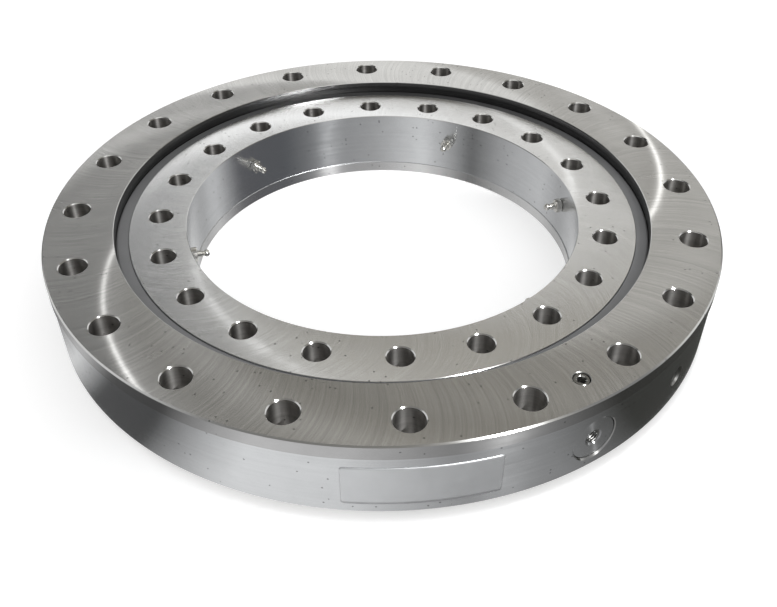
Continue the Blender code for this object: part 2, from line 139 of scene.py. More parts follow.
def direction(azimuth, elevation):
    """A unit vector from two angles in degrees."""
    a = math.radians(azimuth)
    e = math.radians(elevation)
    return Vector((math.cos(a) * math.cos(e), math.sin(a) * math.cos(e), math.sin(e)))


def add_camera():
    """The camera on a line from its target, turned about that line by a small roll."""
    lens = bpy.data.cameras.new("camera")
    lens.lens = CAMERA_LENS_MM
    lens.sensor_width = SENSOR_MM
    lens.sensor_fit = "HORIZONTAL"
    lens.clip_start = NEAREST_VIEW
    camera = bpy.data.objects.new("camera", lens)
    bpy.context.scene.collection.objects.link(camera)
    tilt = Matrix.Rotation(CAMERA_AZIMUTH, 4, "Z")
    tilt @= Matrix.Rotation(math.pi / 2 - CAMERA_ELEVATION, 4, "X")
    tilt @= Matrix.Rotation(-CAMERA_ROLL, 4, "Z")
    back = tilt.to_3x3() @ Vector((0, 0, 1))
    camera.matrix_world = Matrix.Translation(CAMERA_TARGET + back * CAMERA_DISTANCE) @ tilt
    bpy.context.scene.camera = camera
    print("camera at", [round(v, 4) for v in camera.matrix_world.translation])


add_camera()

# %% [markdown]
# ## Helpers for node trees
#
# Materials, the world and Geometry Nodes are all trees of nodes. Sums that are written out node by
# node are hard to read, so each helper makes a node, feeds it and gives its output in one line.

# %% Helpers that make and feed nodes
def feed(tree, socket, value):
    """Links an output to an input, or sets the input to a plain value."""
    if isinstance(value, bpy.types.NodeSocket):
        tree.links.new(value, socket)
    elif value is not None:
        socket.default_value = value


def put(tree, kind, **values):
    """A node fed by its inputs' names, with underscores for spaces; gives its outputs."""
    node = tree.nodes.new(kind)
    for label, value in values.items():
        feed(tree, node.inputs[label.replace("_", " ")], value)
    return node.outputs


def math_node(tree, operation, first, second=None):
    """A Math node whose inputs are sockets or plain numbers; gives its output."""
    node = tree.nodes.new("ShaderNodeMath")
    node.operation = operation
    feed(tree, node.inputs[0], first)
    feed(tree, node.inputs[1], second)
    return node.outputs[0]


def spread(tree, value, low, high, start=0.0, end=1.0, shape="LINEAR"):
    """A Map Range node from low..high to start..end; gives its result."""
    node = tree.nodes.new("ShaderNodeMapRange")
    node.interpolation_type = shape
    names = ("Value", "From Min", "From Max", "To Min", "To Max")
    for name, given in zip(names, (value, low, high, start, end)):
        feed(tree, node.inputs[name], given)
    return node.outputs["Result"]


def parts_of(tree, vector):
    """The three parts of a vector."""
    return put(tree, "ShaderNodeSeparateXYZ", Vector=vector)


def vector_of(tree, x, y, z=0.0):
    """A vector from three parts, each a socket or a plain number."""
    return put(tree, "ShaderNodeCombineXYZ", X=x, Y=y, Z=z)[0]


# %% Helpers that make materials and objects
def new_material(name, metallic=0.0):
    """A material, its node tree and the inputs of its shader."""
    material = bpy.data.materials.new(name)
    material.use_nodes = True
    sockets = material.node_tree.nodes["Principled BSDF"].inputs
    sockets["Metallic"].default_value = metallic
    return material, material.node_tree, sockets


def add_object(name, bm, *materials):
    """Makes an object from a bmesh; smooth faces are parted at sharp edges."""
    mesh = bpy.data.meshes.new(name)
    bm.to_mesh(mesh)
    bm.free()
    for material in materials:
        mesh.materials.append(material)
    mesh.set_sharp_from_angle(angle=SMOOTH_ANGLE)
    made = bpy.data.objects.new(name, mesh)
    bpy.context.scene.collection.objects.link(made)
    return made


# %% [markdown]
# ## Floor, light and surroundings
#
# Bare metal shows its surroundings, so they are part of its finish. Two things are told apart here.
# What lights the piece is plain: an even white world. What the steel mirrors is a studio: white
# walls with grey ones between them, under a grey ceiling, and one small lamp at the front right. A
# Light Path node lets only reflections see that studio, so the picture's background stays white.
#
# The lamp is small on purpose. Tool marks smear its reflection into one long thin streak, and a
# large lamp would turn these streaks into wide bands. It doesn't light matt things at all.

# %% Floor
FLOOR_DROP = 0.0002
FLOOR_SIZE = 16.0
FLOOR_COLOR = (0.86, 0.86, 0.86, 1)
FLOOR_ROUGHNESS = 0.9
FLOOR_LIFT = 0.36
WHITE = (1, 1, 1, 1)
BLACK = (0, 0, 0, 1)


def add_floor():
    """A pale floor just under the bearing, lifted to white where the camera sees it."""
    paint, tree, sockets = new_material("floor_paper")
    sockets["Base Color"].default_value = FLOOR_COLOR
    sockets["Roughness"].default_value = FLOOR_ROUGHNESS
    sockets["Specular IOR Level"].default_value = 0.0
    sockets["Emission Color"].default_value = WHITE
    seen = put(tree, "ShaderNodeLightPath")["Is Camera Ray"]
    tree.links.new(math_node(tree, "MULTIPLY", seen, FLOOR_LIFT), sockets["Emission Strength"])
    bm = bmesh.new()
    bmesh.ops.create_grid(bm, x_segments=1, y_segments=1, size=FLOOR_SIZE / 2)
    floor = add_object("floor", bm, paint)
    floor.location.z = -FLOOR_DROP
    floor.visible_glossy = False


add_floor()
print("floor: %.0f m wide" % FLOOR_SIZE)

# %% Greys of the studio that reflections see
# Each stop is an azimuth in degrees with a grey or a colour.
GROUND_GREYS = (
    (-180, 0.58),
    (-152, 0.18),
    (-120, 1.00),
    (-90, 0.55),
    (-30, (0.14, 0.145, 0.155)),
    (8, (0.14, 0.14, 0.15)),
    (32, 0.85),
    (50, 0.50),
    (85, 0.90),
    (128, 0.50),
    (150, 0.78),
    (180, 0.58),
)
WALL_GREYS = (
    (-180, 0.90),
    (-160, 0.55),
    (-60, (0.30, 0.30, 0.31)),
    (-10, 0.30),
    (8, (0.98, 0.98, 0.97)),
    (90, (1.00, 1.00, 0.99)),
    (180, 0.90),
)
CEILING_GREYS = (
    (-180, 0.25),
    (-60, (0.30, 0.29, 0.27)),
    (62, (0.31, 0.295, 0.26)),
    (80, (0.38, 0.36, 0.32)),
    (97, (0.38, 0.37, 0.34)),
    (103, 0.04),
    (160, 0.04),
    (180, 0.25),
)
ZENITH_LIGHT = (1.10, 1.10, 1.08)
ZENITH_GREYS = ((-180, ZENITH_LIGHT), (88, ZENITH_LIGHT), (108, 0.20), (165, 0.20), (180, ZENITH_LIGHT))
# A tier takes over from the one below it between two heights on a sphere of radius 1.
TIERS = (
    (WALL_GREYS, -0.12, 0.04),
    (CEILING_GREYS, 0.48, 0.54),
    (ZENITH_GREYS, 0.80, 0.92),
)
print("tiers of the studio:", 1 + len(TIERS))

# %% World: even light, and the studio for reflections
WORLD_LEVEL = 0.90


def turned_angle(tree, vector):
    """A vector's direction in the floor plane, from 0 at -180 degrees to 1 at 180."""
    x, y, _ = parts_of(tree, vector)
    return spread(tree, math_node(tree, "ARCTAN2", y, x), -math.pi, math.pi)


def azimuth_ramp(tree, turned, greys):
    """A ramp round the horizon from stops at azimuths."""
    ramp = tree.nodes.new("ShaderNodeValToRGB")
    stops = ramp.color_ramp.elements
    for degrees, _ in greys[1:-1]:
        stops.new((degrees + 180) / 360)
    for stop, (_, grey) in zip(stops, greys):
        color = grey if isinstance(grey, tuple) else (grey, grey, grey)
        stop.color = (*color, 1)
    tree.links.new(turned, ramp.inputs["Fac"])
    return ramp.outputs["Color"]


def mix_colors(tree, factor, first, second):
    """A colour mix whose inputs are sockets or plain colours."""
    mix = tree.nodes.new("ShaderNodeMix")
    mix.data_type = "RGBA"
    for name, value in (("Factor", factor), ("A", first), ("B", second)):
        feed(tree, mix.inputs[name], value)
    return mix.outputs["Result"]


def add_world():
    """Even light for the floor and soft pieces; white for the camera; a studio for steel."""
    world = bpy.data.worlds.new("studio")
    bpy.context.scene.world = world
    world.cycles.sampling_method = "NONE"
    world.use_nodes = True
    tree = world.node_tree
    view = put(tree, "ShaderNodeTexCoord")["Generated"]
    height = parts_of(tree, view)["Z"]
    turned = turned_angle(tree, view)
    studio = azimuth_ramp(tree, turned, GROUND_GREYS)
    for greys, low, high in TIERS:
        rise = spread(tree, height, low, high, shape="SMOOTHSTEP")
        studio = mix_colors(tree, rise, studio, azimuth_ramp(tree, turned, greys))
    path = put(tree, "ShaderNodeLightPath")
    even = (WORLD_LEVEL, WORLD_LEVEL, WORLD_LEVEL, 1)
    mirrored = mix_colors(tree, path["Is Glossy Ray"], even, studio)
    seen = mix_colors(tree, path["Is Camera Ray"], mirrored, WHITE)
    tree.links.new(seen, tree.nodes["Background"].inputs["Color"])


add_world()
print("world:", bpy.context.scene.world.name)

# %% [markdown]
# The upright outer wall mirrors the floor close by. In the photograph that is a lit patch at the
# front left between dark ground on both sides. A flat ring on the floor stands for it here. Only
# reflections can see it, so the floor itself stays pale.

# %% Ground that the outer wall mirrors
APRON_INNER = 0.2835
APRON_OUTER = 1.2
APRON_SIDES = 96
# Each stop is a direction from the bearing's axis in degrees with a grey or a colour.
APRON_GREYS = (
    (-180, 0.10),
    (-168, 0.35),
    (-157, 0.85),
    (-147, 0.10),
    (-134, 0.10),
    (-117, 1.05),
    (-100, 0.95),
    (-82, 0.40),
    (-66, 0.34),
    (-50, (0.06, 0.06, 0.055)),
    (-10, (0.06, 0.06, 0.055)),
    (70, (0.08, 0.08, 0.075)),
    (92, 0.75),
    (108, 0.85),
    (124, 0.30),
    (180, 0.10),
)


def add_apron():
    """A glowing flat ring that only reflections see, shaded by direction from the axis."""
    glow, tree, sockets = new_material("apron_glow")
    sockets["Base Color"].default_value = BLACK
    sockets["Specular IOR Level"].default_value = 0.0
    sockets["Emission Strength"].default_value = 1.0
    turned = turned_angle(tree, put(tree, "ShaderNodeTexCoord")["Object"])
    tree.links.new(azimuth_ramp(tree, turned, APRON_GREYS), sockets["Emission Color"])
    bm = bmesh.new()
    rings = []
    for radius in (APRON_INNER, APRON_OUTER):
        spots = [direction(360 * i / APRON_SIDES, 0) * radius for i in range(APRON_SIDES)]
        rings.append([bm.verts.new(spot) for spot in spots])
    near, far = rings
    for i in range(APRON_SIDES):
        j = (i + 1) % APRON_SIDES
        bm.faces.new((near[i], far[i], far[j], near[j]))
    apron = add_object("apron", bm, glow)
    for kind in ("visible_camera", "visible_diffuse", "visible_shadow", "visible_transmission"):
        setattr(apron, kind, False)


add_apron()
print("stops of the apron:", len(APRON_GREYS))

# %% Lamp
LAMP_AZIMUTH = -56.0
LAMP_ELEVATION = 42.0
LAMP_DISTANCE = 2.4
LAMP_SIZE = 0.07
LAMP_POWER = 120.0


def add_lamp():
    """A small round lamp that faces the middle of the bearing."""
    lamp = bpy.data.lights.new("small_lamp", "AREA")
    lamp.shape = "DISK"
    lamp.size = LAMP_SIZE
    lamp.energy = LAMP_POWER
    made = bpy.data.objects.new("small_lamp", lamp)
    aim = direction(LAMP_AZIMUTH, LAMP_ELEVATION)
    made.location = aim * LAMP_DISTANCE
    made.visible_diffuse = False
    made.rotation_euler = aim.to_track_quat("Z", "Y").to_euler()
    bpy.context.scene.collection.objects.link(made)


add_lamp()
print("lamp at %.0f and %.0f degrees" % (LAMP_AZIMUTH, LAMP_ELEVATION))

# %% [markdown]
# ## Shader tools
#
# Several finishes share the same effects: the fine lines that a cutter leaves, a soft haze from
# handling, and a few specks. Each effect is a node group with named inputs, built once. A finish
# then only chooses how strong each one is.

# %% Node groups and noise
def new_group(name, family, inputs, outputs):
    """An empty node group with named sockets, and the sockets inside its entry and its exit."""
    group = bpy.data.node_groups.new(name, family + "NodeTree")
    for label, kind, *value in inputs:
        socket = group.interface.new_socket(label, in_out="INPUT", socket_type="NodeSocket" + kind)
        if value:
            socket.default_value = value[0]
    for label, kind in outputs:
        group.interface.new_socket(label, in_out="OUTPUT", socket_type="NodeSocket" + kind)
    entry, leave = group.nodes.new("NodeGroupInput"), group.nodes.new("NodeGroupOutput")
    return group, entry.outputs, leave.inputs


def noise_node(tree, vector, scale, detail, roughness):
    """A Noise Texture on a vector; gives its value."""
    noise = put(
        tree, "ShaderNodeTexNoise", Vector=vector, Scale=scale, Detail=detail, Roughness=roughness
    )
    return noise["Fac"]


def radius_and_angle(tree, position):
    """A point's distance from the ring's axis and its angle about it, in radians."""
    x, y, _ = parts_of(tree, position)
    do = functools.partial(math_node, tree)
    square = do("ADD", do("MULTIPLY", x, x), do("MULTIPLY", y, y))
    return do("SQRT", square), do("ARCTAN2", y, x)


# %% [markdown]
# The ground faces carry arcs that cross the ring from edge to edge, because a wide cup wheel swept
# over them. An arc is a line whose angle changes with the radius. Taking that change away from the
# angle gives a coordinate that stays the same along each mark, and noise on it draws the marks.
# Its sine and cosine are used, so that the pattern closes after a full turn.

# %% Group: coordinates that follow the grinding arcs
def make_arc_group():
    """Puts out a vector that is fine across the grinding marks and slow along them."""
    inputs = (
        ("Position", "Vector"),
        ("Middle Radius", "Float", 0.25),
        ("Slope", "Float", 0.0),
        ("Bend", "Float", 0.0),
        ("Across", "Float", 400.0),
        ("Along", "Float", 20.0),
    )
    group, entry, leave = new_group("grinding_arcs", "Shader", inputs, (("Arcs", "Vector"),))
    radius, angle = radius_and_angle(group, entry["Position"])
    do = functools.partial(math_node, group)
    offset = do("SUBTRACT", radius, entry["Middle Radius"])
    slope = do("MULTIPLY", offset, entry["Slope"])
    bend = do("MULTIPLY", do("MULTIPLY", offset, offset), entry["Bend"])
    line = do("SUBTRACT", angle, do("ADD", slope, bend))
    x = do("MULTIPLY", do("COSINE", line), entry["Across"])
    y = do("MULTIPLY", do("SINE", line), entry["Across"])
    along = do("MULTIPLY", radius, entry["Along"])
    group.links.new(vector_of(group, x, y, along), leave["Arcs"])
    return group


ARCS = make_arc_group()

# %% Group: tool marks
BAND_SHARE = 0.55
GROOVE_SHARE = 0.5


def make_marks_group():
    """Fine grooves and broader bands from one vector that already follows the cutter's lay."""
    inputs = (("Lay", "Vector"), ("Band Share", "Float", BAND_SHARE))
    outputs = (("Height", "Float"), ("Tone", "Float"))
    group, entry, leave = new_group("tool_marks", "Shader", inputs, outputs)
    fine = noise_node(group, entry["Lay"], scale=1.0, detail=4.0, roughness=0.65)
    bands = noise_node(group, entry["Lay"], scale=0.14, detail=3.0, roughness=0.55)
    do = functools.partial(math_node, group)
    tone = do("ADD", do("MULTIPLY", bands, entry["Band Share"]), do("MULTIPLY", fine, GROOVE_SHARE))
    group.links.new(fine, leave["Height"])
    group.links.new(tone, leave["Tone"])
    return group


MARKS = make_marks_group()

# %% [markdown]
# Haze is the uneven film that oil, hands and rain leave on bare steel. It hardly has a colour. It
# makes the metal a little rougher and a little darker in soft patches. Specks are the tiny dark
# pits that show up in a close look.

# %% Groups: handling haze and specks
HAZE_MIX = (0.65, 0.35)
HAZE_RANGE = (0.38, 0.66)
SPECK_RARITY = 0.9


def make_haze_group():
    """Soft patches from large and small noise."""
    inputs, outputs = (("Position", "Vector"),), (("Haze", "Float"),)
    group, entry, leave = new_group("handling_haze", "Shader", inputs, outputs)
    large = noise_node(group, entry["Position"], scale=9.0, detail=3.0, roughness=0.6)
    small = noise_node(group, entry["Position"], scale=70.0, detail=4.0, roughness=0.65)
    do = functools.partial(math_node, group)
    both = do("ADD", do("MULTIPLY", large, HAZE_MIX[0]), do("MULTIPLY", small, HAZE_MIX[1]))
    group.links.new(spread(group, both, *HAZE_RANGE), leave["Haze"])
    return group


def make_specks_group():
    """Sparse round specks, chosen from a cell pattern by each cell's own random number."""
    inputs = (("Position", "Vector"), ("Cells", "Float", 260.0), ("Size", "Float", 0.2))
    group, entry, leave = new_group("specks", "Shader", inputs, (("Specks", "Float"),))
    cells = put(group, "ShaderNodeTexVoronoi", Vector=entry["Position"], Scale=entry["Cells"])
    do = functools.partial(math_node, group)
    inside = do("LESS_THAN", cells["Distance"], entry["Size"])
    rare = do("GREATER_THAN", parts_of(group, cells["Color"])["X"], SPECK_RARITY)
    group.links.new(do("MULTIPLY", inside, rare), leave["Specks"])
    return group


HAZE = make_haze_group()
SPECKS = make_specks_group()
print("shader groups:", [group.name for group in bpy.data.node_groups])

# %% [markdown]
# ## Steel
#
# All bare steel uses one recipe. The shader is anisotropic: a reflection stays sharp along the
# marks and is smeared across them. The marks' direction comes from the map named "lay", whose
# first axis runs along them. The map is made with each mesh. A picture of brushed metal would
# show its edges and repeats on a ring, and this recipe has none.

# %% Inputs of a finish
LAY_MAP = "lay"


def put_group(tree, group, **values):
    """A group's node, fed like any other node; gives its outputs."""
    node = tree.nodes.new("ShaderNodeGroup")
    node.node_tree = group
    for label, value in values.items():
        feed(tree, node.inputs[label.replace("_", " ")], value)
    return node.outputs


def scaled(tree, vector, scale):
    """A vector through a Mapping node that scales it."""
    return put(tree, "ShaderNodeMapping", Vector=vector, Scale=scale)["Vector"]


def object_position(tree, scale=(1, 1, 1)):
    """Object coordinates, scaled."""
    return scaled(tree, put(tree, "ShaderNodeTexCoord")["Object"], scale)


def lay_position(tree, scale):
    """The piece's lay map, scaled."""
    source = tree.nodes.new("ShaderNodeUVMap")
    source.uv_map = LAY_MAP
    return scaled(tree, source.outputs["UV"], scale)


def lay_map_heading(tree):
    """The direction of the lay map's first axis."""
    tangent = tree.nodes.new("ShaderNodeTangent")
    tangent.direction_type = "UV_MAP"
    tangent.uv_map = LAY_MAP
    return tangent.outputs["Tangent"]


def feed_color(tree, socket, color, level):
    """Feeds a plain colour times a level to a colour input."""
    tint = tree.nodes.new("ShaderNodeVectorMath")
    tint.operation = "SCALE"
    tint.inputs[0].default_value = color
    tree.links.new(level, tint.inputs["Scale"])
    tree.links.new(tint.outputs["Vector"], socket)


def feed_bump(tree, socket, height, distance, strength=1.0):
    """Feeds the bump that a height gives to a normal input."""
    bump = put(tree, "ShaderNodeBump", Strength=strength, Distance=distance, Height=height)
    tree.links.new(bump["Normal"], socket)


# %% Steel recipe
ACROSS_THE_LAY = 0.25
GROOVE_DEPTH = 0.0001
TONE_RANGE = (0.3, 0.75)
GRIT = 0.03
HAZE_LEVEL = 0.93
SPECK_LEVEL = 0.5


def make_steel(name, color, roughness, stretch, lay, tone=0.05, groove=0.1, heading=lay_map_heading):
    """Bare machined steel; lay builds the vector that draws the tool marks.

    heading builds the marks' direction, and a reflection is stretched across it.
    """
    material, tree, sockets = new_material(name, metallic=1.0)
    sockets["Anisotropic"].default_value = stretch
    sockets["Anisotropic Rotation"].default_value = ACROSS_THE_LAY
    tree.links.new(heading(tree), sockets["Tangent"])
    place = object_position(tree)
    marks = put_group(tree, MARKS, Lay=lay(tree))
    haze = put_group(tree, HAZE, Position=place)["Haze"]
    dots = put_group(tree, SPECKS, Position=place)["Specks"]

    shade = spread(tree, marks["Tone"], *TONE_RANGE, 1.0 - tone, 1.0 + tone)
    film = spread(tree, haze, 0.0, 1.0, 1.0, HAZE_LEVEL)
    pits = spread(tree, dots, 0.0, 1.0, 1.0, SPECK_LEVEL)
    level = math_node(tree, "MULTIPLY", math_node(tree, "MULTIPLY", shade, film), pits)
    feed_color(tree, sockets["Base Color"], color, level)

    rough = spread(tree, haze, 0.0, 1.0, roughness - GRIT / 2, roughness + GRIT)
    grain = spread(tree, marks["Tone"], *TONE_RANGE, -GRIT / 2, GRIT / 2)
    tree.links.new(math_node(tree, "ADD", rough, grain), sockets["Roughness"])
    feed_bump(tree, sockets["Normal"], marks["Height"], groove * GROOVE_DEPTH)
    return material


# %% [markdown]
# The direction of the grinding marks was read from the bright streaks in the photograph. A streak
# runs where the marks are square to the line halfway between eye and lamp. From it follow, for
# each ring, the marks' slope at the middle of the face and how fast it changes outwards.
#
# The shader can stretch a reflection ten times at most, and real grinding stretches it further. So
# the outer marks' direction also sways as it goes round the ring. It turns fastest where the
# streaks lie, which makes them as narrow as on the real face.

# %% Lay of each ring's faces
OUTER_LAY = {"Middle_Radius": 0.2548, "Slope": -0.27, "Bend": -22.0}
INNER_LAY = {"Middle_Radius": 0.1911, "Slope": -2.55, "Bend": -63.0}
FACE_GRAIN = {"Across": 1000.0, "Along": 26.0}
SWAY_COUNT = 7
SWAY_LEAN = 11.3
SWAY_START = math.radians(7.4)
SWAY_SWING = 0.30


def arcs_of(lay):
    """Gives a builder of the arc vector for one ring's faces."""

    def build(tree):
        return put_group(tree, ARCS, Position=object_position(tree), **FACE_GRAIN, **lay)["Arcs"]

    return build


def sway_of(lay):
    """Gives a builder of the marks' swaying direction on one ring's faces."""

    def build(tree):
        radius, angle = radius_and_angle(tree, object_position(tree))
        do = functools.partial(math_node, tree)
        offset = do("SUBTRACT", radius, lay["Middle_Radius"])
        slope = do("ADD", do("MULTIPLY", offset, 2 * lay["Bend"]), lay["Slope"])
        tilt = do("ARCTANGENT", do("MULTIPLY", slope, radius))
        leaning = do("SUBTRACT", angle, do("MULTIPLY", offset, SWAY_LEAN))
        phase = do("MULTIPLY", do("SUBTRACT", leaning, SWAY_START), SWAY_COUNT)
        swing = do("MULTIPLY", do("SINE", phase), SWAY_SWING)
        heading = do("ADD", angle, do("ADD", tilt, swing))
        return vector_of(tree, do("COSINE", heading), do("SINE", heading))

    return build


# %% Lay of walls and small pieces
GROOVES_PER_METRE = 2600.0
WALL_GRAIN = (45.0, 45.0, GROOVES_PER_METRE)
RIDGE_GRAIN = (3.0, 3.0, 420.0)
MAP_GRAIN = (60.0, GROOVES_PER_METRE, 1.0)


def rings_about_axis(tree):
    """Turned grooves on an upright wall: slow round it, fine up it."""
    return object_position(tree, WALL_GRAIN)


def coarse_rings(tree):
    """A few wide turned ridges on an upright wall."""
    return object_position(tree, RIDGE_GRAIN)


def rings_on_map(tree):
    """Turned grooves on any small piece, by its own lay map."""
    return lay_position(tree, MAP_GRAIN)


# %% Steel finishes: name, colour, roughness, stretch, lay
STEEL = (0.62, 0.615, 0.60)
# The inner face is the same ground steel as the outer face, painted far paler: painted light.
LIT_STEEL = (0.90, 0.905, 0.91)
PLAIN_STEEL = (0.60, 0.61, 0.62)
DARK_STEEL = (0.30, 0.30, 0.29)
OUTER_MARKS = {"tone": 0.18, "groove": 0.4, "heading": sway_of(OUTER_LAY)}
INNER_MARKS = {"tone": 0.08, "groove": 0.6}
GROUND_OUTER = make_steel("ground_outer_face", STEEL, 0.24, 1.0, arcs_of(OUTER_LAY), **OUTER_MARKS)
GROUND_INNER = make_steel("ground_inner_face", LIT_STEEL, 0.17, 1.0, arcs_of(INNER_LAY), **INNER_MARKS)
TURNED = make_steel("turned_wall", PLAIN_STEEL, 0.15, 1.0, rings_about_axis, groove=0.3)
BAND = make_steel("fine_turned_band", (0.66, 0.66, 0.66), 0.20, 1.0, rings_about_axis, tone=0.03)
SPIGOT = make_steel("turned_spigot", (0.46, 0.46, 0.46), 0.20, 1.0, rings_about_axis, tone=0.03)
# The land walls in the gap between the rings are painted near black as painted shade, and the strong
# tone paints light ridge lines on them as painted highlights.
PAINTED_SHADE_LAND = make_steel("oiled_land", (0.11, 0.11, 0.11), 0.22, 0.9, coarse_rings, tone=1.0, groove=4.0)
EDGE = make_steel("bright_edge", (0.62, 0.62, 0.61), 0.14, 0.5, rings_on_map)
DRILLED = make_steel("drilled_bore", (0.46, 0.45, 0.435), 0.30, 0.8, rings_about_axis, 0.2, 0.3)
FACED = make_steel("faced_plug", PLAIN_STEEL, 0.20, 0.9, rings_on_map)
THREAD = make_steel("cut_thread", DARK_STEEL, 0.32, 0.3, rings_on_map, tone=0.1)
PLATED = make_steel("plated_steel", (0.70, 0.69, 0.655), 0.18, 0.2, rings_on_map, tone=0.12)
BLACKED = make_steel("set_screw_steel", DARK_STEEL, 0.22, 0.3, rings_on_map, tone=0.1)
POLISHED = make_steel("ball_steel", (0.70, 0.70, 0.71), 0.08, 0.0, rings_about_axis, 0.0, 0.02)
print("materials so far:", len(bpy.data.materials))

# %% [markdown]
# ## Rubber, plastic and film
#
# The seal is matt nitrile rubber, painted lighter on its front half as painted light and darker at
# the back as painted shade. The cage is glass-filled nylon. The label is a thin metallised film.

# %% Soft and plastic finishes
HAZE_SMOOTHER = 0.05
HAZE_ROUGHER = 0.08
GRAIN_STRENGTH = 0.3


def make_plain(name, color, roughness, metallic, mottle, grain_scale, bump_height, painted_light_and_shade=0.0):
    """A finish with soft mottling in colour and roughness, and a fine grain.

    The last input paints light and shade: it lightens the front half, -Y, and fades to as much
    darker at the back.
    """
    material, tree, sockets = new_material(name, metallic)
    place = object_position(tree)
    haze = put_group(tree, HAZE, Position=place)["Haze"]
    patches = spread(tree, haze, 0.0, 1.0, 1.0 - mottle, 1.0 + mottle)
    depth = parts_of(tree, place)["Y"]
    # Painted light and shade: lighter towards the front, -Y, and darker towards the back.
    light_and_shade_level = spread(tree, depth, 0.0, BALL_ROW_RADIUS, 1.0 + painted_light_and_shade, 1.0 - painted_light_and_shade)
    feed_color(tree, sockets["Base Color"], color, math_node(tree, "MULTIPLY", patches, light_and_shade_level))
    rough = spread(tree, haze, 0.0, 1.0, roughness - HAZE_SMOOTHER, roughness + HAZE_ROUGHER)
    tree.links.new(rough, sockets["Roughness"])
    grain = noise_node(tree, place, scale=grain_scale, detail=3.0, roughness=0.6)
    feed_bump(tree, sockets["Normal"], grain, bump_height, GRAIN_STRENGTH)
    return material


# The seal's last number paints it lighter at the front and darker at the back: painted light and shade.
RUBBER = make_plain("seal_rubber", (0.10, 0.101, 0.103), 0.60, 0.0, 0.08, 900.0, 0.00006, painted_light_and_shade=0.8)
NYLON = make_plain("cage_nylon", (0.72, 0.69, 0.60), 0.5, 0.0, 0.05, 500.0, 0.00005)
FILM = make_plain("label_film", (0.58, 0.59, 0.60), 0.34, 0.75, 0.05, 60.0, 0.00010)
print("materials:", len(bpy.data.materials))

# %% [markdown]
# ## Turning a piece
#
# Nearly every piece here is turned, so one function does what a lathe does. It takes the outline
# as radius and height, sweeps it round, and writes the lay map as it goes. The Screw modifier could
# sweep it too, but writes no such map. An outline point may name a number of sides. Then its radius
# is measured to the flats of that polygon, which gives hexagons their true form on a round piece.

# %% Reading an outline
LEVEL_TOLERANCE = 1e-6


def radius_at(point, angle):
    """An outline point's radius at one angle, round or on the flats of a polygon."""
    if len(point) == 2:
        return point[0]
    side = math.tau / point[2]
    return point[0] / math.cos((angle + side / 2) % side - side / 2)


def face_lay(lay, radius):
    """How far a grinding arc has turned at a radius, in radians."""
    offset = radius - lay["Middle_Radius"]
    return lay["Slope"] * offset + lay["Bend"] * offset**2


def same(first, second):
    """Whether two lengths in metres are the same."""
    return abs(first - second) < LEVEL_TOLERANCE


# %% Lathe
def columns_of(bm, outline, segments, placing):
    """The outline's vertices at each step round the axis; a point on the axis is made once."""
    columns = []
    for i in range(segments):
        angle = math.tau * i / segments
        column = []
        for j, point in enumerate(outline):
            radius = radius_at(point, angle)
            spot = Vector((radius * math.cos(angle), radius * math.sin(angle), point[1]))
            on_axis = point[0] == 0 and i > 0
            column.append(columns[0][j] if on_axis else bm.verts.new(placing @ spot))
        columns.append(column)
    return columns


def turn(outline, segments, closed=True, lay=None, placing=Matrix.Identity(4), finish=None):
    """A bmesh swept from an outline; finish gives each outline edge its material number."""
    bm = bmesh.new()
    lay_map = bm.loops.layers.uv.new(LAY_MAP)
    columns = columns_of(bm, outline, segments, placing)
    edges = range(len(outline) if closed else len(outline) - 1)
    lengths = [0.0]
    for j in edges:
        k = (j + 1) % len(outline)
        lengths.append(lengths[-1] + math.dist(outline[j][:2], outline[k][:2]))
    for i in range(segments):
        for j in edges:
            k = (j + 1) % len(outline)
            steps = ((i, j), (i + 1, j), (i + 1, k), (i, k))
            verts = [columns[step % segments][p] for step, p in steps]
            kept = [n for n in range(4) if verts[n] not in verts[:n]]
            if len(kept) < 3:
                continue
            face = bm.faces.new([verts[n] for n in kept])
            face.smooth = True
            face.material_index = finish(outline[j], outline[k]) if finish else 0
            reach = max(outline[j][0], outline[k][0])
            for corner, n in zip(face.loops, kept):
                step, p = steps[n]
                angle = math.tau * step / segments
                radius = outline[p][0]
                if lay and same(outline[j][1], outline[k][1]):
                    along = (angle - face_lay(lay, radius)) * lay["Middle_Radius"]
                    corner[lay_map].uv = (radius, along)
                else:
                    corner[lay_map].uv = (angle * reach, lengths[j + (n > 1)])
    bmesh.ops.recalc_face_normals(bm, faces=bm.faces)
    return bm


# %% Helpers for turned pieces
def fine_outline(outline, step, closed=True):
    """Adds points so that no stretch of an outline is longer than step."""
    points = []
    count = len(outline) if closed else len(outline) - 1
    for j in range(count):
        start, end = outline[j], outline[(j + 1) % len(outline)]
        pieces = max(1, math.ceil(math.dist(start[:2], end[:2]) / step))
        for n in range(pieces):
            share = n / pieces
            points.append(tuple(a + (b - a) * share for a, b in zip(start, end)))
    if not closed:
        points.append(outline[-1])
    return points


def turned_piece(name, outline, finish, segments=ROUND_SEGMENTS, placing=Matrix.Identity(4)):
    """A small object turned from an outline that starts and ends on its own axis."""
    return add_object(name, turn(outline, segments, closed=False, placing=placing), finish)


def facing(degrees, height):
    """Turns a form made along +Z so that it points away from the ring's axis."""
    about = Matrix.Rotation(math.radians(degrees), 4, "Z")
    return about @ Matrix.Translation((0, 0, height)) @ Matrix.Rotation(math.pi / 2, 4, "Y")


# %% [markdown]
# ## Repeating a piece round the ring
#
# Twenty bolt holes in each ring, thirty-six balls and as many cage pockets all follow the same
# rule: copies of one form at equal steps round a circle. An Array modifier would need a guide
# object for each circle. A small Geometry Nodes tree needs none and does this for all of them. It
# takes the form, the count, the circle and two finishes as inputs. The second finish goes on the
# faces that the form marks as edges.

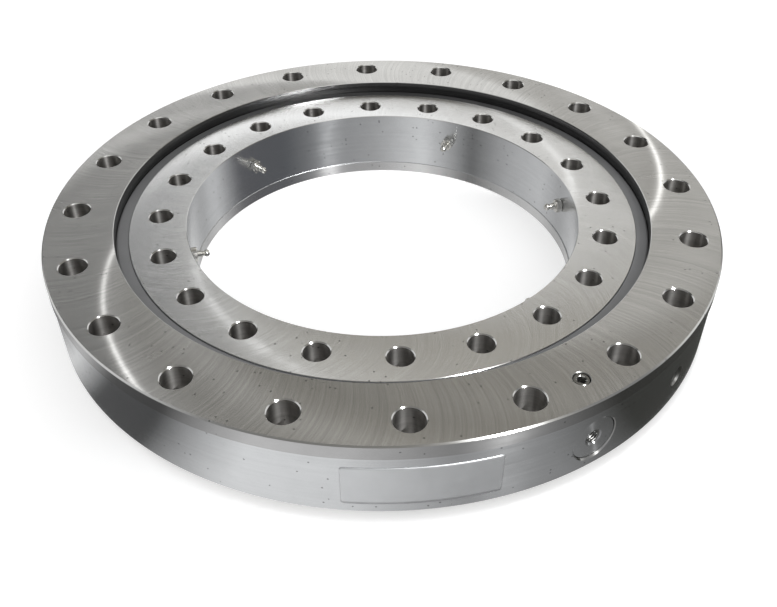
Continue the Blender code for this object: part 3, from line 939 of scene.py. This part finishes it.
# %% Geometry Nodes: copies on a circle
def make_circle_tree():
    """Instances of one object on a circle, turned outwards and made real."""
    inputs = (
        ("Piece", "Object"),
        ("Count", "Int"),
        ("Radius", "Float"),
        ("First Angle", "Float"),
        ("Height", "Float"),
        ("Finish", "Material"),
        ("Edge Finish", "Material"),
    )
    outputs = (("Geometry", "Geometry"),)
    tree, entry, leave = new_group("copies_on_a_circle", "Geometry", inputs, outputs)
    do = functools.partial(math_node, tree)
    index = put(tree, "GeometryNodeInputIndex")[0]
    step = do("DIVIDE", math.tau, entry["Count"])
    angle = do("ADD", do("MULTIPLY", index, step), entry["First Angle"])
    x = do("MULTIPLY", do("COSINE", angle), entry["Radius"])
    y = do("MULTIPLY", do("SINE", angle), entry["Radius"])
    spot = vector_of(tree, x, y, entry["Height"])
    points = put(tree, "GeometryNodePoints", Count=entry["Count"], Position=spot)[0]
    piece = put(tree, "GeometryNodeObjectInfo", Object=entry["Piece"])["Geometry"]
    outwards = vector_of(tree, 0.0, 0.0, angle)
    placed = {"Points": points, "Instance": piece, "Rotation": outwards}
    copies = put(tree, "GeometryNodeInstanceOnPoints", **placed)["Instances"]
    real = put(tree, "GeometryNodeRealizeInstances", Geometry=copies)[0]
    slot = put(tree, "GeometryNodeInputMaterialIndex")[0]
    finish = "GeometryNodeSetMaterial"
    edges = put(tree, finish, Geometry=real, Selection=slot, Material=entry["Edge Finish"])[0]
    first_slot = do("LESS_THAN", slot, 0.5)
    rest = put(tree, finish, Geometry=edges, Selection=first_slot, Material=entry["Finish"])[0]
    tree.links.new(rest, leave["Geometry"])
    return tree


CIRCLE_TREE = make_circle_tree()
print("tree:", CIRCLE_TREE.name)

# %% From a tree to a plain mesh
def plain_mesh(made, name):
    """Replaces an object's modifiers by the mesh that they give."""
    evaluated = made.evaluated_get(bpy.context.evaluated_depsgraph_get())
    mesh = bpy.data.meshes.new_from_object(evaluated)
    mesh.name = name
    made.modifiers.clear()
    made.data = mesh
    return made


def grow(name, tree, **values):
    """Runs a Geometry Nodes tree with its named inputs and keeps the plain mesh."""
    made = bpy.data.objects.new(name, bpy.data.meshes.new(name))
    bpy.context.scene.collection.objects.link(made)
    modifier = made.modifiers.new(tree.name, "NODES")
    modifier.node_group = tree
    sockets = {item.name: item.identifier for item in tree.interface.items_tree}
    for label, value in values.items():
        modifier[sockets[label.replace("_", " ")]] = value
    return plain_mesh(made, name)


def copies_on_circle(name, piece, count, radius, height, finish, edge_finish=None):
    """Copies of a piece round the ring as one plain mesh; the piece itself goes."""
    made = grow(
        name,
        CIRCLE_TREE,
        Piece=piece,
        Count=count,
        Radius=radius,
        First_Angle=math.radians(FIRST_HOLE),
        Height=height,
        Finish=finish,
        Edge_Finish=edge_finish,
    )
    bpy.data.objects.remove(piece, do_unlink=True)
    made.data.set_sharp_from_angle(angle=SMOOTH_ANGLE)
    return made


# %% Cutting a piece and handing it over
def carve(target, *cutters, operation="DIFFERENCE"):
    """Cuts a piece with others, keeps the cutters' finishes in the cuts, and removes them."""
    for cutter in cutters:
        modifier = target.modifiers.new(cutter.name, "BOOLEAN")
        modifier.operation = operation
        modifier.solver = "EXACT"
        modifier.material_mode = "TRANSFER"
        modifier.object = cutter
    plain_mesh(target, target.name)
    for cutter in cutters:
        bpy.data.objects.remove(cutter, do_unlink=True)
    target.data.set_sharp_from_angle(angle=SMOOTH_ANGLE)
    return target


def hand_over(piece, body, slot, *nodes):
    """Lets a piece ride on its body and stand for its solids."""
    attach(piece, body)
    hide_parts(*nodes)
    print("%s: %d faces" % (piece.name, len(piece.data.polygons)))


# %% [markdown]
# ## The two rings
#
# Each is a forged ring, turned and ground to its section: a raceway, the seal's groove, a broken
# edge at every corner and a fine locating band. It could be cut out of a plain tube. Turning its
# section is exact, and every face gets its lay map and its finish on the way. Then the bolt holes
# are cut, each with both edges broken. A cut takes its cutter's finish, so the broken edges come
# out bright and the bores dull.

# %% Raceway and seal groove
RACE_STEPS = 12
CONTACT_ANGLE = math.radians(45)
BALL_ROW_HEIGHT = PLUG_AXIS_HEIGHT
SEAL_DEPTH = 0.001
SEAL_THICKNESS = 0.0042
SEAL_FOOT_HEIGHT = 0.0028
SEAL_FOOT_REACH = 0.0037


def raceway(side):
    """A four-point raceway, bottom to top; side is +1 for the outer ring and -1 for the inner."""
    shift = RACE_RADIUS - BALL_RADIUS - RACE_CLEARANCE
    aside = shift * math.cos(CONTACT_ANGLE)
    above = shift * math.sin(CONTACT_ANGLE)
    first = math.asin(above / RACE_RADIUS)
    last = math.acos((RING_GAP / 2 + aside) / RACE_RADIUS)
    upper = []
    for i in range(RACE_STEPS + 1):
        angle = first + (last - first) * i / RACE_STEPS
        upper.append((RACE_RADIUS * math.cos(angle) - aside, RACE_RADIUS * math.sin(angle) - above))
    lower = [(across, -height) for across, height in reversed(upper[1:])]
    return [(BALL_ROW_RADIUS + side * a, BALL_ROW_HEIGHT + h) for a, h in lower + upper]


def seal_groove(side, face, inward):
    """The square groove for a seal's foot, from the face inwards."""
    land = BALL_ROW_RADIUS + side * RING_GAP / 2
    bottom = land + side * (SEAL_FOOT_REACH + FIT_GAP)
    near = face + inward * (SEAL_DEPTH + SEAL_THICKNESS - SEAL_FOOT_HEIGHT - FIT_GAP)
    far = face + inward * (SEAL_DEPTH + SEAL_THICKNESS + FIT_GAP)
    return [(land, near), (bottom, near), (bottom, far), (land, far)]


# %% Sections of both rings
def outer_section():
    """Section of the outer ring with its centring spigot and relief groove."""
    step = OUTER_TOP - SPIGOT_HEIGHT
    points = [(OUTER_LAND + EDGE_CHAMFER, OUTER_BOTTOM), (OUTER_LAND, OUTER_BOTTOM + EDGE_CHAMFER)]
    points += seal_groove(1, OUTER_BOTTOM, 1)
    points += raceway(1)
    points += [
        (OUTER_LAND, OUTER_TOP - EDGE_CHAMFER),
        (OUTER_LAND + EDGE_CHAMFER, OUTER_TOP),
        (SPIGOT_RADIUS - RIM_CHAMFER, OUTER_TOP),
        (SPIGOT_RADIUS, OUTER_TOP - RIM_CHAMFER),
        (SPIGOT_RADIUS, step),
        (WALL_RADIUS - RELIEF_DEPTH, step),
        (WALL_RADIUS - RELIEF_DEPTH, step - RELIEF_WIDTH),
        (WALL_RADIUS, step - RELIEF_WIDTH),
        (WALL_RADIUS, OUTER_BOTTOM + EDGE_CHAMFER),
        (WALL_RADIUS - EDGE_CHAMFER, OUTER_BOTTOM),
    ]
    return points


def inner_section():
    """Section of the inner ring with the fine band at the foot of its bore."""
    band = BORE_RADIUS - BAND_STEP
    points = [
        (BORE_RADIUS + EDGE_CHAMFER, INNER_TOP),
        (BORE_RADIUS, INNER_TOP - EDGE_CHAMFER),
        (BORE_RADIUS, BAND_HEIGHT),
        (band, BAND_HEIGHT),
        (band, EDGE_CHAMFER),
        (band + EDGE_CHAMFER, 0.0),
        (INNER_LAND - EDGE_CHAMFER, 0.0),
        (INNER_LAND, EDGE_CHAMFER),
    ]
    points += raceway(-1)
    points += reversed(seal_groove(-1, INNER_TOP, -1))
    points += [(INNER_LAND, INNER_TOP - EDGE_CHAMFER), (INNER_LAND - EDGE_CHAMFER, INNER_TOP)]
    return points


# %% Cutter for the bolt holes
def drill(radius, low, high):
    """Outline of a straight through hole with both of its edges broken."""
    mouth = radius + HOLE_CHAMFER + OVERCUT
    lower = [(0.0, low - OVERCUT), (mouth, low - OVERCUT), (radius, low + HOLE_CHAMFER)]
    return lower + [(radius, high - HOLE_CHAMFER), (mouth, high + OVERCUT), (0.0, high + OVERCUT)]


def drill_finish(start, end):
    """Material number of an outline edge: the upright bore or a bright broken edge."""
    return 0 if start[0] == end[0] else 1


def bolt_holes(name, radius, bolt_circle, low, high):
    """The cutter of all bolt holes of one ring."""
    form = turn(drill(radius, low, high), ROUND_SEGMENTS, closed=False, finish=drill_finish)
    one = add_object("one_of_" + name, form, DRILLED, EDGE)
    return copies_on_circle(name, one, HOLE_COUNT, bolt_circle, 0.0, DRILLED, EDGE)


# %% [markdown]
# The outer ring also has the bore of the filler plug, the tapped hole for the plug's locking screw
# and a threaded lifting hole. The three are cut with turned cutters as well, two of them lying on
# their side and pointing outwards.

# %% Cutters for the outer ring
PLUG_RADIUS = 0.0185
PLUG_CHAMFER = 0.0006
LIFT_ANGLE = -44.0
LIFT_RADIUS = 0.007
LIFT_DEPTH = 0.024
TAP_CHAMFER = 0.0014
LOCK_SCREW_RADIUS = 0.006
LOCK_HOLE_FLARE = 0.0004
LOCK_PLACE = Matrix.Translation(direction(PLUG_ANGLE, 0) * LOCK_RADIUS)


def wall_bore(name, degrees, radius, inner_end, chamfer, finish):
    """A cutter for a radial bore in the outer wall, with a chamfered mouth."""
    mouth = math.sqrt(WALL_RADIUS**2 - radius**2)
    outline = [
        (0.0, inner_end),
        (radius, inner_end),
        (radius, mouth - chamfer),
        (radius + chamfer + OVERCUT, mouth + OVERCUT),
        (radius + chamfer + OVERCUT, SPIGOT_RADIUS + OVERCUT),
        (0.0, SPIGOT_RADIUS + OVERCUT),
    ]
    return turned_piece(name, outline, finish, placing=facing(degrees, PLUG_AXIS_HEIGHT))


def lock_hole():
    """A cutter for the upright tapped hole above the plug."""
    radius = LOCK_SCREW_RADIUS + FIT_GAP
    outline = [
        (0.0, PLUG_AXIS_HEIGHT + PLUG_RADIUS / 2),
        (radius, PLUG_AXIS_HEIGHT + PLUG_RADIUS / 2),
        (radius, OUTER_TOP - LOCK_HOLE_FLARE),
        (radius + LOCK_HOLE_FLARE + OVERCUT, OUTER_TOP + OVERCUT),
        (0.0, OUTER_TOP + OVERCUT),
    ]
    return turned_piece("lock_hole", outline, THREAD, placing=LOCK_PLACE)


# %% Outer ring
FACE_STEP = 0.004
FACE, WALL, FINE_WALL, BROKEN_EDGE, PAINTED_SHADE_WALL = range(5)


def plain_finish(start, end):
    """Material number of an outline edge: level face, upright wall or slanted broken edge."""
    if same(start[1], end[1]):
        return FACE
    return WALL if same(start[0], end[0]) else BROKEN_EDGE


def outer_finish(start, end):
    """The same for the outer ring, whose spigot is finer and whose land walls carry painted shade."""
    number = plain_finish(start, end)
    # The land walls beside the gap get the near-black finish of painted shade.
    if number == WALL and start[0] < BALL_ROW_RADIUS + RING_GAP:
        return PAINTED_SHADE_WALL
    return FINE_WALL if number == WALL and start[0] > WALL_RADIUS else number


def make_outer_ring():
    """Turns and drills the outer ring."""
    outline = fine_outline(outer_section(), FACE_STEP)
    bm = turn(outline, RING_SEGMENTS, lay=OUTER_LAY, finish=outer_finish)
    ring = add_object("outer_ring_steel", bm, GROUND_OUTER, TURNED, SPIGOT, EDGE, PAINTED_SHADE_LAND)
    lift_end = math.sqrt(WALL_RADIUS**2 - LIFT_RADIUS**2) - LIFT_DEPTH
    carve(
        ring,
        bolt_holes("outer_bolt_holes", OUTER_HOLE_RADIUS, OUTER_HOLES_RADIUS, OUTER_BOTTOM, OUTER_TOP),
        wall_bore("plug_bore", PLUG_ANGLE, PLUG_RADIUS, BALL_ROW_RADIUS, PLUG_CHAMFER, EDGE),
        wall_bore("lift_bore", LIFT_ANGLE, LIFT_RADIUS, lift_end, TAP_CHAMFER, THREAD),
        lock_hole(),
    )
    hand_over(ring, "outer_ring", "ring_steel", "outer_ring")


make_outer_ring()

# %% Inner ring
NIPPLE_HEIGHT = place_of(NIPPLES[0])[2]
SEAT_RADIUS = 0.00515
SEAT_START = 0.010
SEAT_DEPTH = 0.008
SEAT_POINT = 0.012


def inner_finish(start, end):
    """Material number of an outline edge of the inner ring, whose locating band is finer."""
    number = plain_finish(start, end)
    return FINE_WALL if number == WALL and start[0] < BORE_RADIUS else number


def nipple_seat(node):
    """A cutter for the threaded seat of one grease nipple."""
    outline = [
        (0.0, BORE_RADIUS - SEAT_START),
        (SEAT_RADIUS, BORE_RADIUS - SEAT_START),
        (SEAT_RADIUS, BORE_RADIUS + SEAT_DEPTH),
        (0.0, BORE_RADIUS + SEAT_POINT),
    ]
    placing = facing(place_of(node)[1], NIPPLE_HEIGHT)
    return turned_piece("seat_" + node, outline, THREAD, ROUND_SEGMENTS // 2, placing)


def make_inner_ring():
    """Turns and drills the inner ring."""
    outline = fine_outline(inner_section(), FACE_STEP)
    bm = turn(outline, RING_SEGMENTS, lay=INNER_LAY, finish=inner_finish)
    ring = add_object("inner_ring_steel", bm, GROUND_INNER, TURNED, BAND, EDGE)
    holes = bolt_holes("inner_bolt_holes", INNER_HOLE_RADIUS, INNER_HOLES_RADIUS, 0.0, INNER_TOP)
    carve(ring, holes, *[nipple_seat(node) for node in NIPPLES])
    hand_over(ring, "inner_ring", "ring_steel", "inner_ring")


make_inner_ring()

# %% [markdown]
# ## Seals
#
# A seal is an extruded rubber cord with its ends joined. Its foot sits in the groove of one ring
# and its lip leans on the other. The lip slopes down to the outer ring and leaves the thin black
# line that shows beside it. A curve with this profile would do too, but the lathe keeps the foot
# and its groove on the same named sizes.

# %% Seals
LIP_CLEARANCE = 0.0004
LIP_HEIGHT = 0.0014
LIP_SLOPE = 0.0008


def seal_outline(side, face, inward):
    """Section of a seal; side is the ring that holds it, inward points into the bearing."""
    land = BALL_ROW_RADIUS + side * RING_GAP / 2
    back = land + side * SEAL_FOOT_REACH
    front = land - side * FIT_GAP
    lip = BALL_ROW_RADIUS - side * (RING_GAP / 2 - LIP_CLEARANCE)
    top = face + inward * SEAL_DEPTH
    bottom = top + inward * SEAL_THICKNESS
    foot_top = bottom - inward * SEAL_FOOT_HEIGHT
    return [
        (back, bottom),
        (land - side * RING_GAP / 3, bottom),
        (lip, top + inward * (LIP_SLOPE + LIP_HEIGHT)),
        (lip, top + inward * LIP_SLOPE),
        (BALL_ROW_RADIUS - side * RING_GAP / 3, top),
        (front, top),
        (front, foot_top),
        (back, foot_top),
    ]


def make_seal(name, side, face, inward, body, node):
    """One seal as a turned ring."""
    bm = turn(seal_outline(side, face, inward), RING_SEGMENTS)
    hand_over(add_object(name, bm, RUBBER), body, "seal_rubber", node)


make_seal("upper_seal_rubber", -1, INNER_TOP, -1, "inner_ring", "upper_seal")
make_seal("lower_seal_rubber", 1, OUTER_BOTTOM, 1, "outer_ring", "lower_seal")

# %% [markdown]
# ## Filler plug and its locking screw
#
# The balls go in through a hole in the outer ring. A plug closes it and carries the missing piece
# of the raceway, so its inner end is cut to the ring's own section. The tapped hole in its face is
# for a puller. Bump could hint at its thread, but light falls deep into this hole and shows each
# turn. So the thread is a real ridge that climbs the wall: a spiral with a triangle swept along
# it, made by a second small tree.

# %% Geometry Nodes: thread
THREAD_STEPS = 24
RIDGE_SIDES = 3
RIDGE_SHARE = 0.55


def make_thread_tree():
    """A triangular ridge swept along a spiral."""
    inputs = (("Radius", "Float"), ("Pitch", "Float"), ("Turns", "Float"), ("Finish", "Material"))
    outputs = (("Geometry", "Geometry"),)
    tree, entry, leave = new_group("thread_ridge", "Geometry", inputs, outputs)
    spiral = put(
        tree,
        "GeometryNodeCurveSpiral",
        Resolution=THREAD_STEPS,
        Rotations=entry["Turns"],
        Start_Radius=entry["Radius"],
        End_Radius=entry["Radius"],
        Height=math_node(tree, "MULTIPLY", entry["Pitch"], entry["Turns"]),
    )["Curve"]
    size = math_node(tree, "MULTIPLY", entry["Pitch"], RIDGE_SHARE)
    ridge = put(tree, "GeometryNodeCurvePrimitiveCircle", Resolution=RIDGE_SIDES, Radius=size)["Curve"]
    sweep = put(tree, "GeometryNodeCurveToMesh", Curve=spiral, Profile_Curve=ridge, Fill_Caps=True)
    real = put(tree, "GeometryNodeRealizeInstances", Geometry=sweep["Mesh"])[0]
    finish = put(tree, "GeometryNodeSetMaterial", Geometry=real, Material=entry["Finish"])[0]
    tree.links.new(finish, leave["Geometry"])
    return tree


THREAD_TREE = make_thread_tree()
print("tree:", THREAD_TREE.name)


def join_into(target, *others):
    """Adds the meshes of other objects to a piece and removes them."""
    chosen = [target, *others]
    with bpy.context.temp_override(
        active_object=target, object=target, selected_objects=chosen, selected_editable_objects=chosen
    ):
        bpy.ops.object.join()


def thread(name, radius, pitch, turns, placing):
    """A thread ridge on a bore's wall, in place."""
    made = grow(name, THREAD_TREE, Radius=radius, Pitch=pitch, Turns=turns, Finish=THREAD)
    made.data.transform(placing)
    return made


# %% Filler plug
PLUG_RECESS = 0.0009
PLUG_FACE = math.sqrt(WALL_RADIUS**2 - PLUG_RADIUS**2) - PLUG_RECESS
PLUG_SEGMENTS = 96
PLUG_STEP = 0.003
TAP_RADIUS = 0.0058
TAP_DEPTH = 0.020
TAP_PITCH = 0.00175
TAP_TURNS = 8.0


def make_plug():
    """The plug with its puller thread, cut to the ring's section at its inner end."""
    radius = PLUG_RADIUS - FIT_GAP
    outline = [
        (0.0, BALL_ROW_RADIUS),
        (radius, BALL_ROW_RADIUS),
        (radius, PLUG_FACE - PLUG_CHAMFER),
        (radius - PLUG_CHAMFER, PLUG_FACE),
        (TAP_RADIUS + TAP_CHAMFER, PLUG_FACE),
        (TAP_RADIUS, PLUG_FACE - TAP_CHAMFER),
        (TAP_RADIUS, PLUG_FACE - TAP_DEPTH),
        (0.0, PLUG_FACE - TAP_DEPTH - TAP_RADIUS / 2),
    ]
    placing = facing(PLUG_ANGLE, PLUG_AXIS_HEIGHT)
    outline = fine_outline(outline, PLUG_STEP, closed=False)
    plug = turned_piece("filler_plug_steel", outline, FACED, PLUG_SEGMENTS, placing)
    blank = add_object("ring_blank", turn(outer_section(), RING_SEGMENTS), FACED)
    carve(plug, blank, operation="INTERSECT")
    start = Matrix.Translation((0, 0, PLUG_FACE - TAP_CHAMFER - TAP_TURNS * TAP_PITCH))
    join_into(plug, thread("tap_thread", TAP_RADIUS, TAP_PITCH, TAP_TURNS, placing @ start))
    hand_over(plug, "outer_ring", "ring_steel", "filler_plug")


make_plug()

# %% Locking screw
SCREW_RECESS = 0.0008
SCREW_POINT = 0.0024
SCREW_BEVEL = 0.0007
SOCKET_FLAT = 0.003
SOCKET_DEPTH = 0.006
SOCKET_MOUTH = 0.0009
SOCKET_LEAD = 0.0005
SOCKET_CONE = 0.001


def make_lock_screw():
    """A hexagon socket set screw with a chamfered rim and a cone point."""
    top = OUTER_TOP - SCREW_RECESS
    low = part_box("plug_lock_screw")[0].z
    wide = LOCK_SCREW_RADIUS
    outline = [
        (0.0, low),
        (wide - SCREW_POINT, low),
        (wide, low + SCREW_POINT),
        (wide, top - SCREW_BEVEL),
        (wide - SCREW_BEVEL, top),
        (SOCKET_FLAT + SOCKET_MOUTH, top),
        (SOCKET_FLAT, top - SOCKET_LEAD, 6),
        (SOCKET_FLAT, top - SOCKET_DEPTH, 6),
        (0.0, top - SOCKET_DEPTH - SOCKET_CONE),
    ]
    screw = turned_piece("locking_screw", outline, BLACKED, placing=LOCK_PLACE)
    hand_over(screw, "outer_ring", "plated_steel", "plug_lock_screw")


make_lock_screw()

# %% [markdown]
# ## Grease nipples
#
# Six nipples stand in the bore and point at the axis. Each has a threaded shank in the ring, a
# hexagon for the spanner with its corners turned off, a waist, and a ball head that the grease gun
# grips, with a small spring-loaded ball in its mouth. All of this lies on one axis. So a nipple is
# one turned outline instead of a stack of cylinders, and only its hexagon names a number of sides.

# %% Grease nipples
HEX_FLAT = 0.0055
HEX_HEIGHT = 0.0055
# Share of the hexagon's flats that is left at its foot and crown, and height of the bevel.
HEX_FOOT = (0.97, 0.0005)
HEX_CROWN = (0.96, 0.0006)
NIPPLE_LENGTH = 0.0155
NIPPLE_SEGMENTS = 36
SHANK_RADIUS = 0.00475
SHANK_LENGTH = 0.007
NECK_RADIUS = 0.0030
NECK_FLARE = (0.0006, 0.0005)
HEAD_RADIUS = 0.00325
HEAD_FLATNESS = 0.85
HEAD_DEPTH = 0.0024
HEAD_STEPS = 6
HEAD_START = -55.0
HEAD_SWEEP = 100.0
# Radius and depth below the tip, of the waist and of the mouth with its small ball.
WAIST = ((NECK_RADIUS, 0.0062), (0.00225, 0.0056), (0.00225, 0.0046))
MOUTH = ((0.0019, 0.0), (0.0012, 0.0), (0.0010, 0.0006), (0.0006, 0.0002), (0.0, 0.0001))


def nipple_outline():
    """Outline of a nipple from its shank to its mouth, as distance from the ring's axis."""
    corner = HEX_FLAT / math.cos(math.pi / 6)
    seat = -(math.sqrt(BORE_RADIUS**2 - corner**2) - FIT_GAP)
    top = seat + HEX_HEIGHT
    tip = seat + NIPPLE_LENGTH
    points = [(0.0, seat - SHANK_LENGTH), (SHANK_RADIUS, seat - SHANK_LENGTH), (SHANK_RADIUS, seat)]
    points += [(HEX_FLAT * HEX_FOOT[0], seat), (HEX_FLAT, seat + HEX_FOOT[1], 6)]
    points += [(HEX_FLAT, top - HEX_CROWN[1], 6), (HEX_FLAT * HEX_CROWN[0], top)]
    points += [(NECK_RADIUS + NECK_FLARE[0], top), (NECK_RADIUS, top + NECK_FLARE[1])]
    points += [(radius, tip - depth) for radius, depth in WAIST]
    middle = tip - HEAD_DEPTH
    for i in range(HEAD_STEPS + 1):
        angle = math.radians(HEAD_START + HEAD_SWEEP * i / HEAD_STEPS)
        height = middle + HEAD_RADIUS * HEAD_FLATNESS * math.sin(angle)
        points.append((HEAD_RADIUS * math.cos(angle), height))
    return points + [(radius, tip - depth) for radius, depth in MOUTH]


def make_nipple(node):
    """One nipple at its solid's place."""
    placing = facing(place_of(node)[1] + 180, NIPPLE_HEIGHT)
    name = node.replace("grease_", "plated_")
    piece = turned_piece(name, nipple_outline(), PLATED, NIPPLE_SEGMENTS, placing)
    hand_over(piece, "inner_ring", "plated_steel", node)


for nipple in NIPPLES:
    make_nipple(nipple)

# %% [markdown]
# ## Balls and cage
#
# The rolling set can't be seen while the seals are in, but it is there and it turns. The balls are
# copies of one sphere, turned from half a circle, and the cage is a band with a round pocket for
# each of them. Both could be placed by a loop of their own. With one tree for both, balls and
# pockets always meet.

# %% Balls
BALL_SEGMENTS = 32
BALL_RINGS = 20


def ball_outline():
    """Half a circle from pole to pole."""
    angles = [math.pi * (i / BALL_RINGS - 0.5) for i in range(1, BALL_RINGS)]
    arc = [(BALL_RADIUS * math.cos(angle), BALL_RADIUS * math.sin(angle)) for angle in angles]
    return [(0.0, -BALL_RADIUS), *arc, (0.0, BALL_RADIUS)]


def make_balls():
    """All balls as one piece, by the circle tree."""
    one = turned_piece("one_ball", ball_outline(), POLISHED, BALL_SEGMENTS)
    circle = (len(BALLS), BALL_ROW_RADIUS, BALL_ROW_HEIGHT)
    balls = copies_on_circle("ball_set", one, *circle, POLISHED)
    hand_over(balls, "ball_train", "ball_steel", *BALLS)


make_balls()

# %% Cage
CAGE_HALF_WALL = 0.0015
CAGE_RIM = 0.0026
CAGE_STEP = 0.006
POCKET_RADIUS = BALL_RADIUS + 0.0004
POCKET_REACH = 0.004
POCKET_SEGMENTS = 32


def make_cage():
    """A nylon band drilled for the balls."""
    half = POCKET_RADIUS + CAGE_RIM
    low, high = BALL_ROW_HEIGHT - half, BALL_ROW_HEIGHT + half
    near, far = BALL_ROW_RADIUS - CAGE_HALF_WALL, BALL_ROW_RADIUS + CAGE_HALF_WALL
    outline = fine_outline([(near, low), (far, low), (far, high), (near, high)], CAGE_STEP)
    half_step = Matrix.Rotation(math.pi / RING_SEGMENTS, 4, "Z")
    cage = add_object("nylon_cage", turn(outline, RING_SEGMENTS, placing=half_step), NYLON)
    ends = (-POCKET_REACH, POCKET_REACH)
    pocket = [(0.0, ends[0]), (POCKET_RADIUS, ends[0]), (POCKET_RADIUS, ends[1]), (0.0, ends[1])]
    lying = Matrix.Rotation(math.pi / 2, 4, "Y")
    one = turned_piece("one_pocket", pocket, NYLON, POCKET_SEGMENTS, lying)
    circle = (len(BALLS), BALL_ROW_RADIUS, BALL_ROW_HEIGHT)
    carve(cage, copies_on_circle("pockets", one, *circle, NYLON))
    hand_over(cage, "ball_train", "cage_polyamide", "ball_cage")


make_cage()

# %% [markdown]
# ## Label
#
# A blank film label is bent round the outer wall. A Shrinkwrap modifier could lay a flat film on
# the wall. Here it is a thin grid with rounded corners whose columns are placed by their angle,
# which is exact. A Solidify modifier then gives the film its thickness.

# %% Label
LABEL_WIDTH = 0.108
LABEL_LIFT = 0.0001
LABEL_THICKNESS = 0.0001
LABEL_COLUMNS = 72
LABEL_ROWS = 12
LABEL_CORNER = 0.0015


def label_point(across, up):
    """A point of the film's outer face, from its place across and up from the middle."""
    radius = WALL_RADIUS + LABEL_LIFT + LABEL_THICKNESS
    spot = direction(LABEL_ANGLE + math.degrees(across / WALL_RADIUS), 0) * radius
    return Vector((spot.x, spot.y, PLUG_AXIS_HEIGHT + up))


def make_label():
    """The film as a bent grid with two sides."""
    bm = bmesh.new()
    lay_map = bm.loops.layers.uv.new(LAY_MAP)
    grid = []
    for i in range(LABEL_COLUMNS + 1):
        across = LABEL_WIDTH * (i / LABEL_COLUMNS - 0.5)
        inset = max(0.0, LABEL_CORNER - (LABEL_WIDTH / 2 - abs(across)))
        drop = LABEL_CORNER - math.sqrt(max(0.0, LABEL_CORNER**2 - inset**2))
        half = LABEL_HEIGHT / 2 - drop
        heights = [half * (2 * j / LABEL_ROWS - 1) for j in range(LABEL_ROWS + 1)]
        grid.append([bm.verts.new(label_point(across, up)) for up in heights])
    for i in range(LABEL_COLUMNS):
        for j in range(LABEL_ROWS):
            face = bm.faces.new((grid[i][j], grid[i + 1][j], grid[i + 1][j + 1], grid[i][j + 1]))
            face.smooth = True
            for corner, (a, b) in zip(face.loops, ((i, j), (i + 1, j), (i + 1, j + 1), (i, j + 1))):
                corner[lay_map].uv = (a / LABEL_COLUMNS, b / LABEL_ROWS)
    label = add_object("blank_label", bm, FILM)
    wall = label.modifiers.new("film", "SOLIDIFY")
    wall.thickness = LABEL_THICKNESS
    wall.offset = -1
    plain_mesh(label, "blank_label")
    hand_over(label, "outer_ring", "label_film", "label")


make_label()

# %% [markdown]
# ## Finish
#
# The view transform is plain.

# %% View transform
bpy.context.scene.view_settings.view_transform = "Standard"
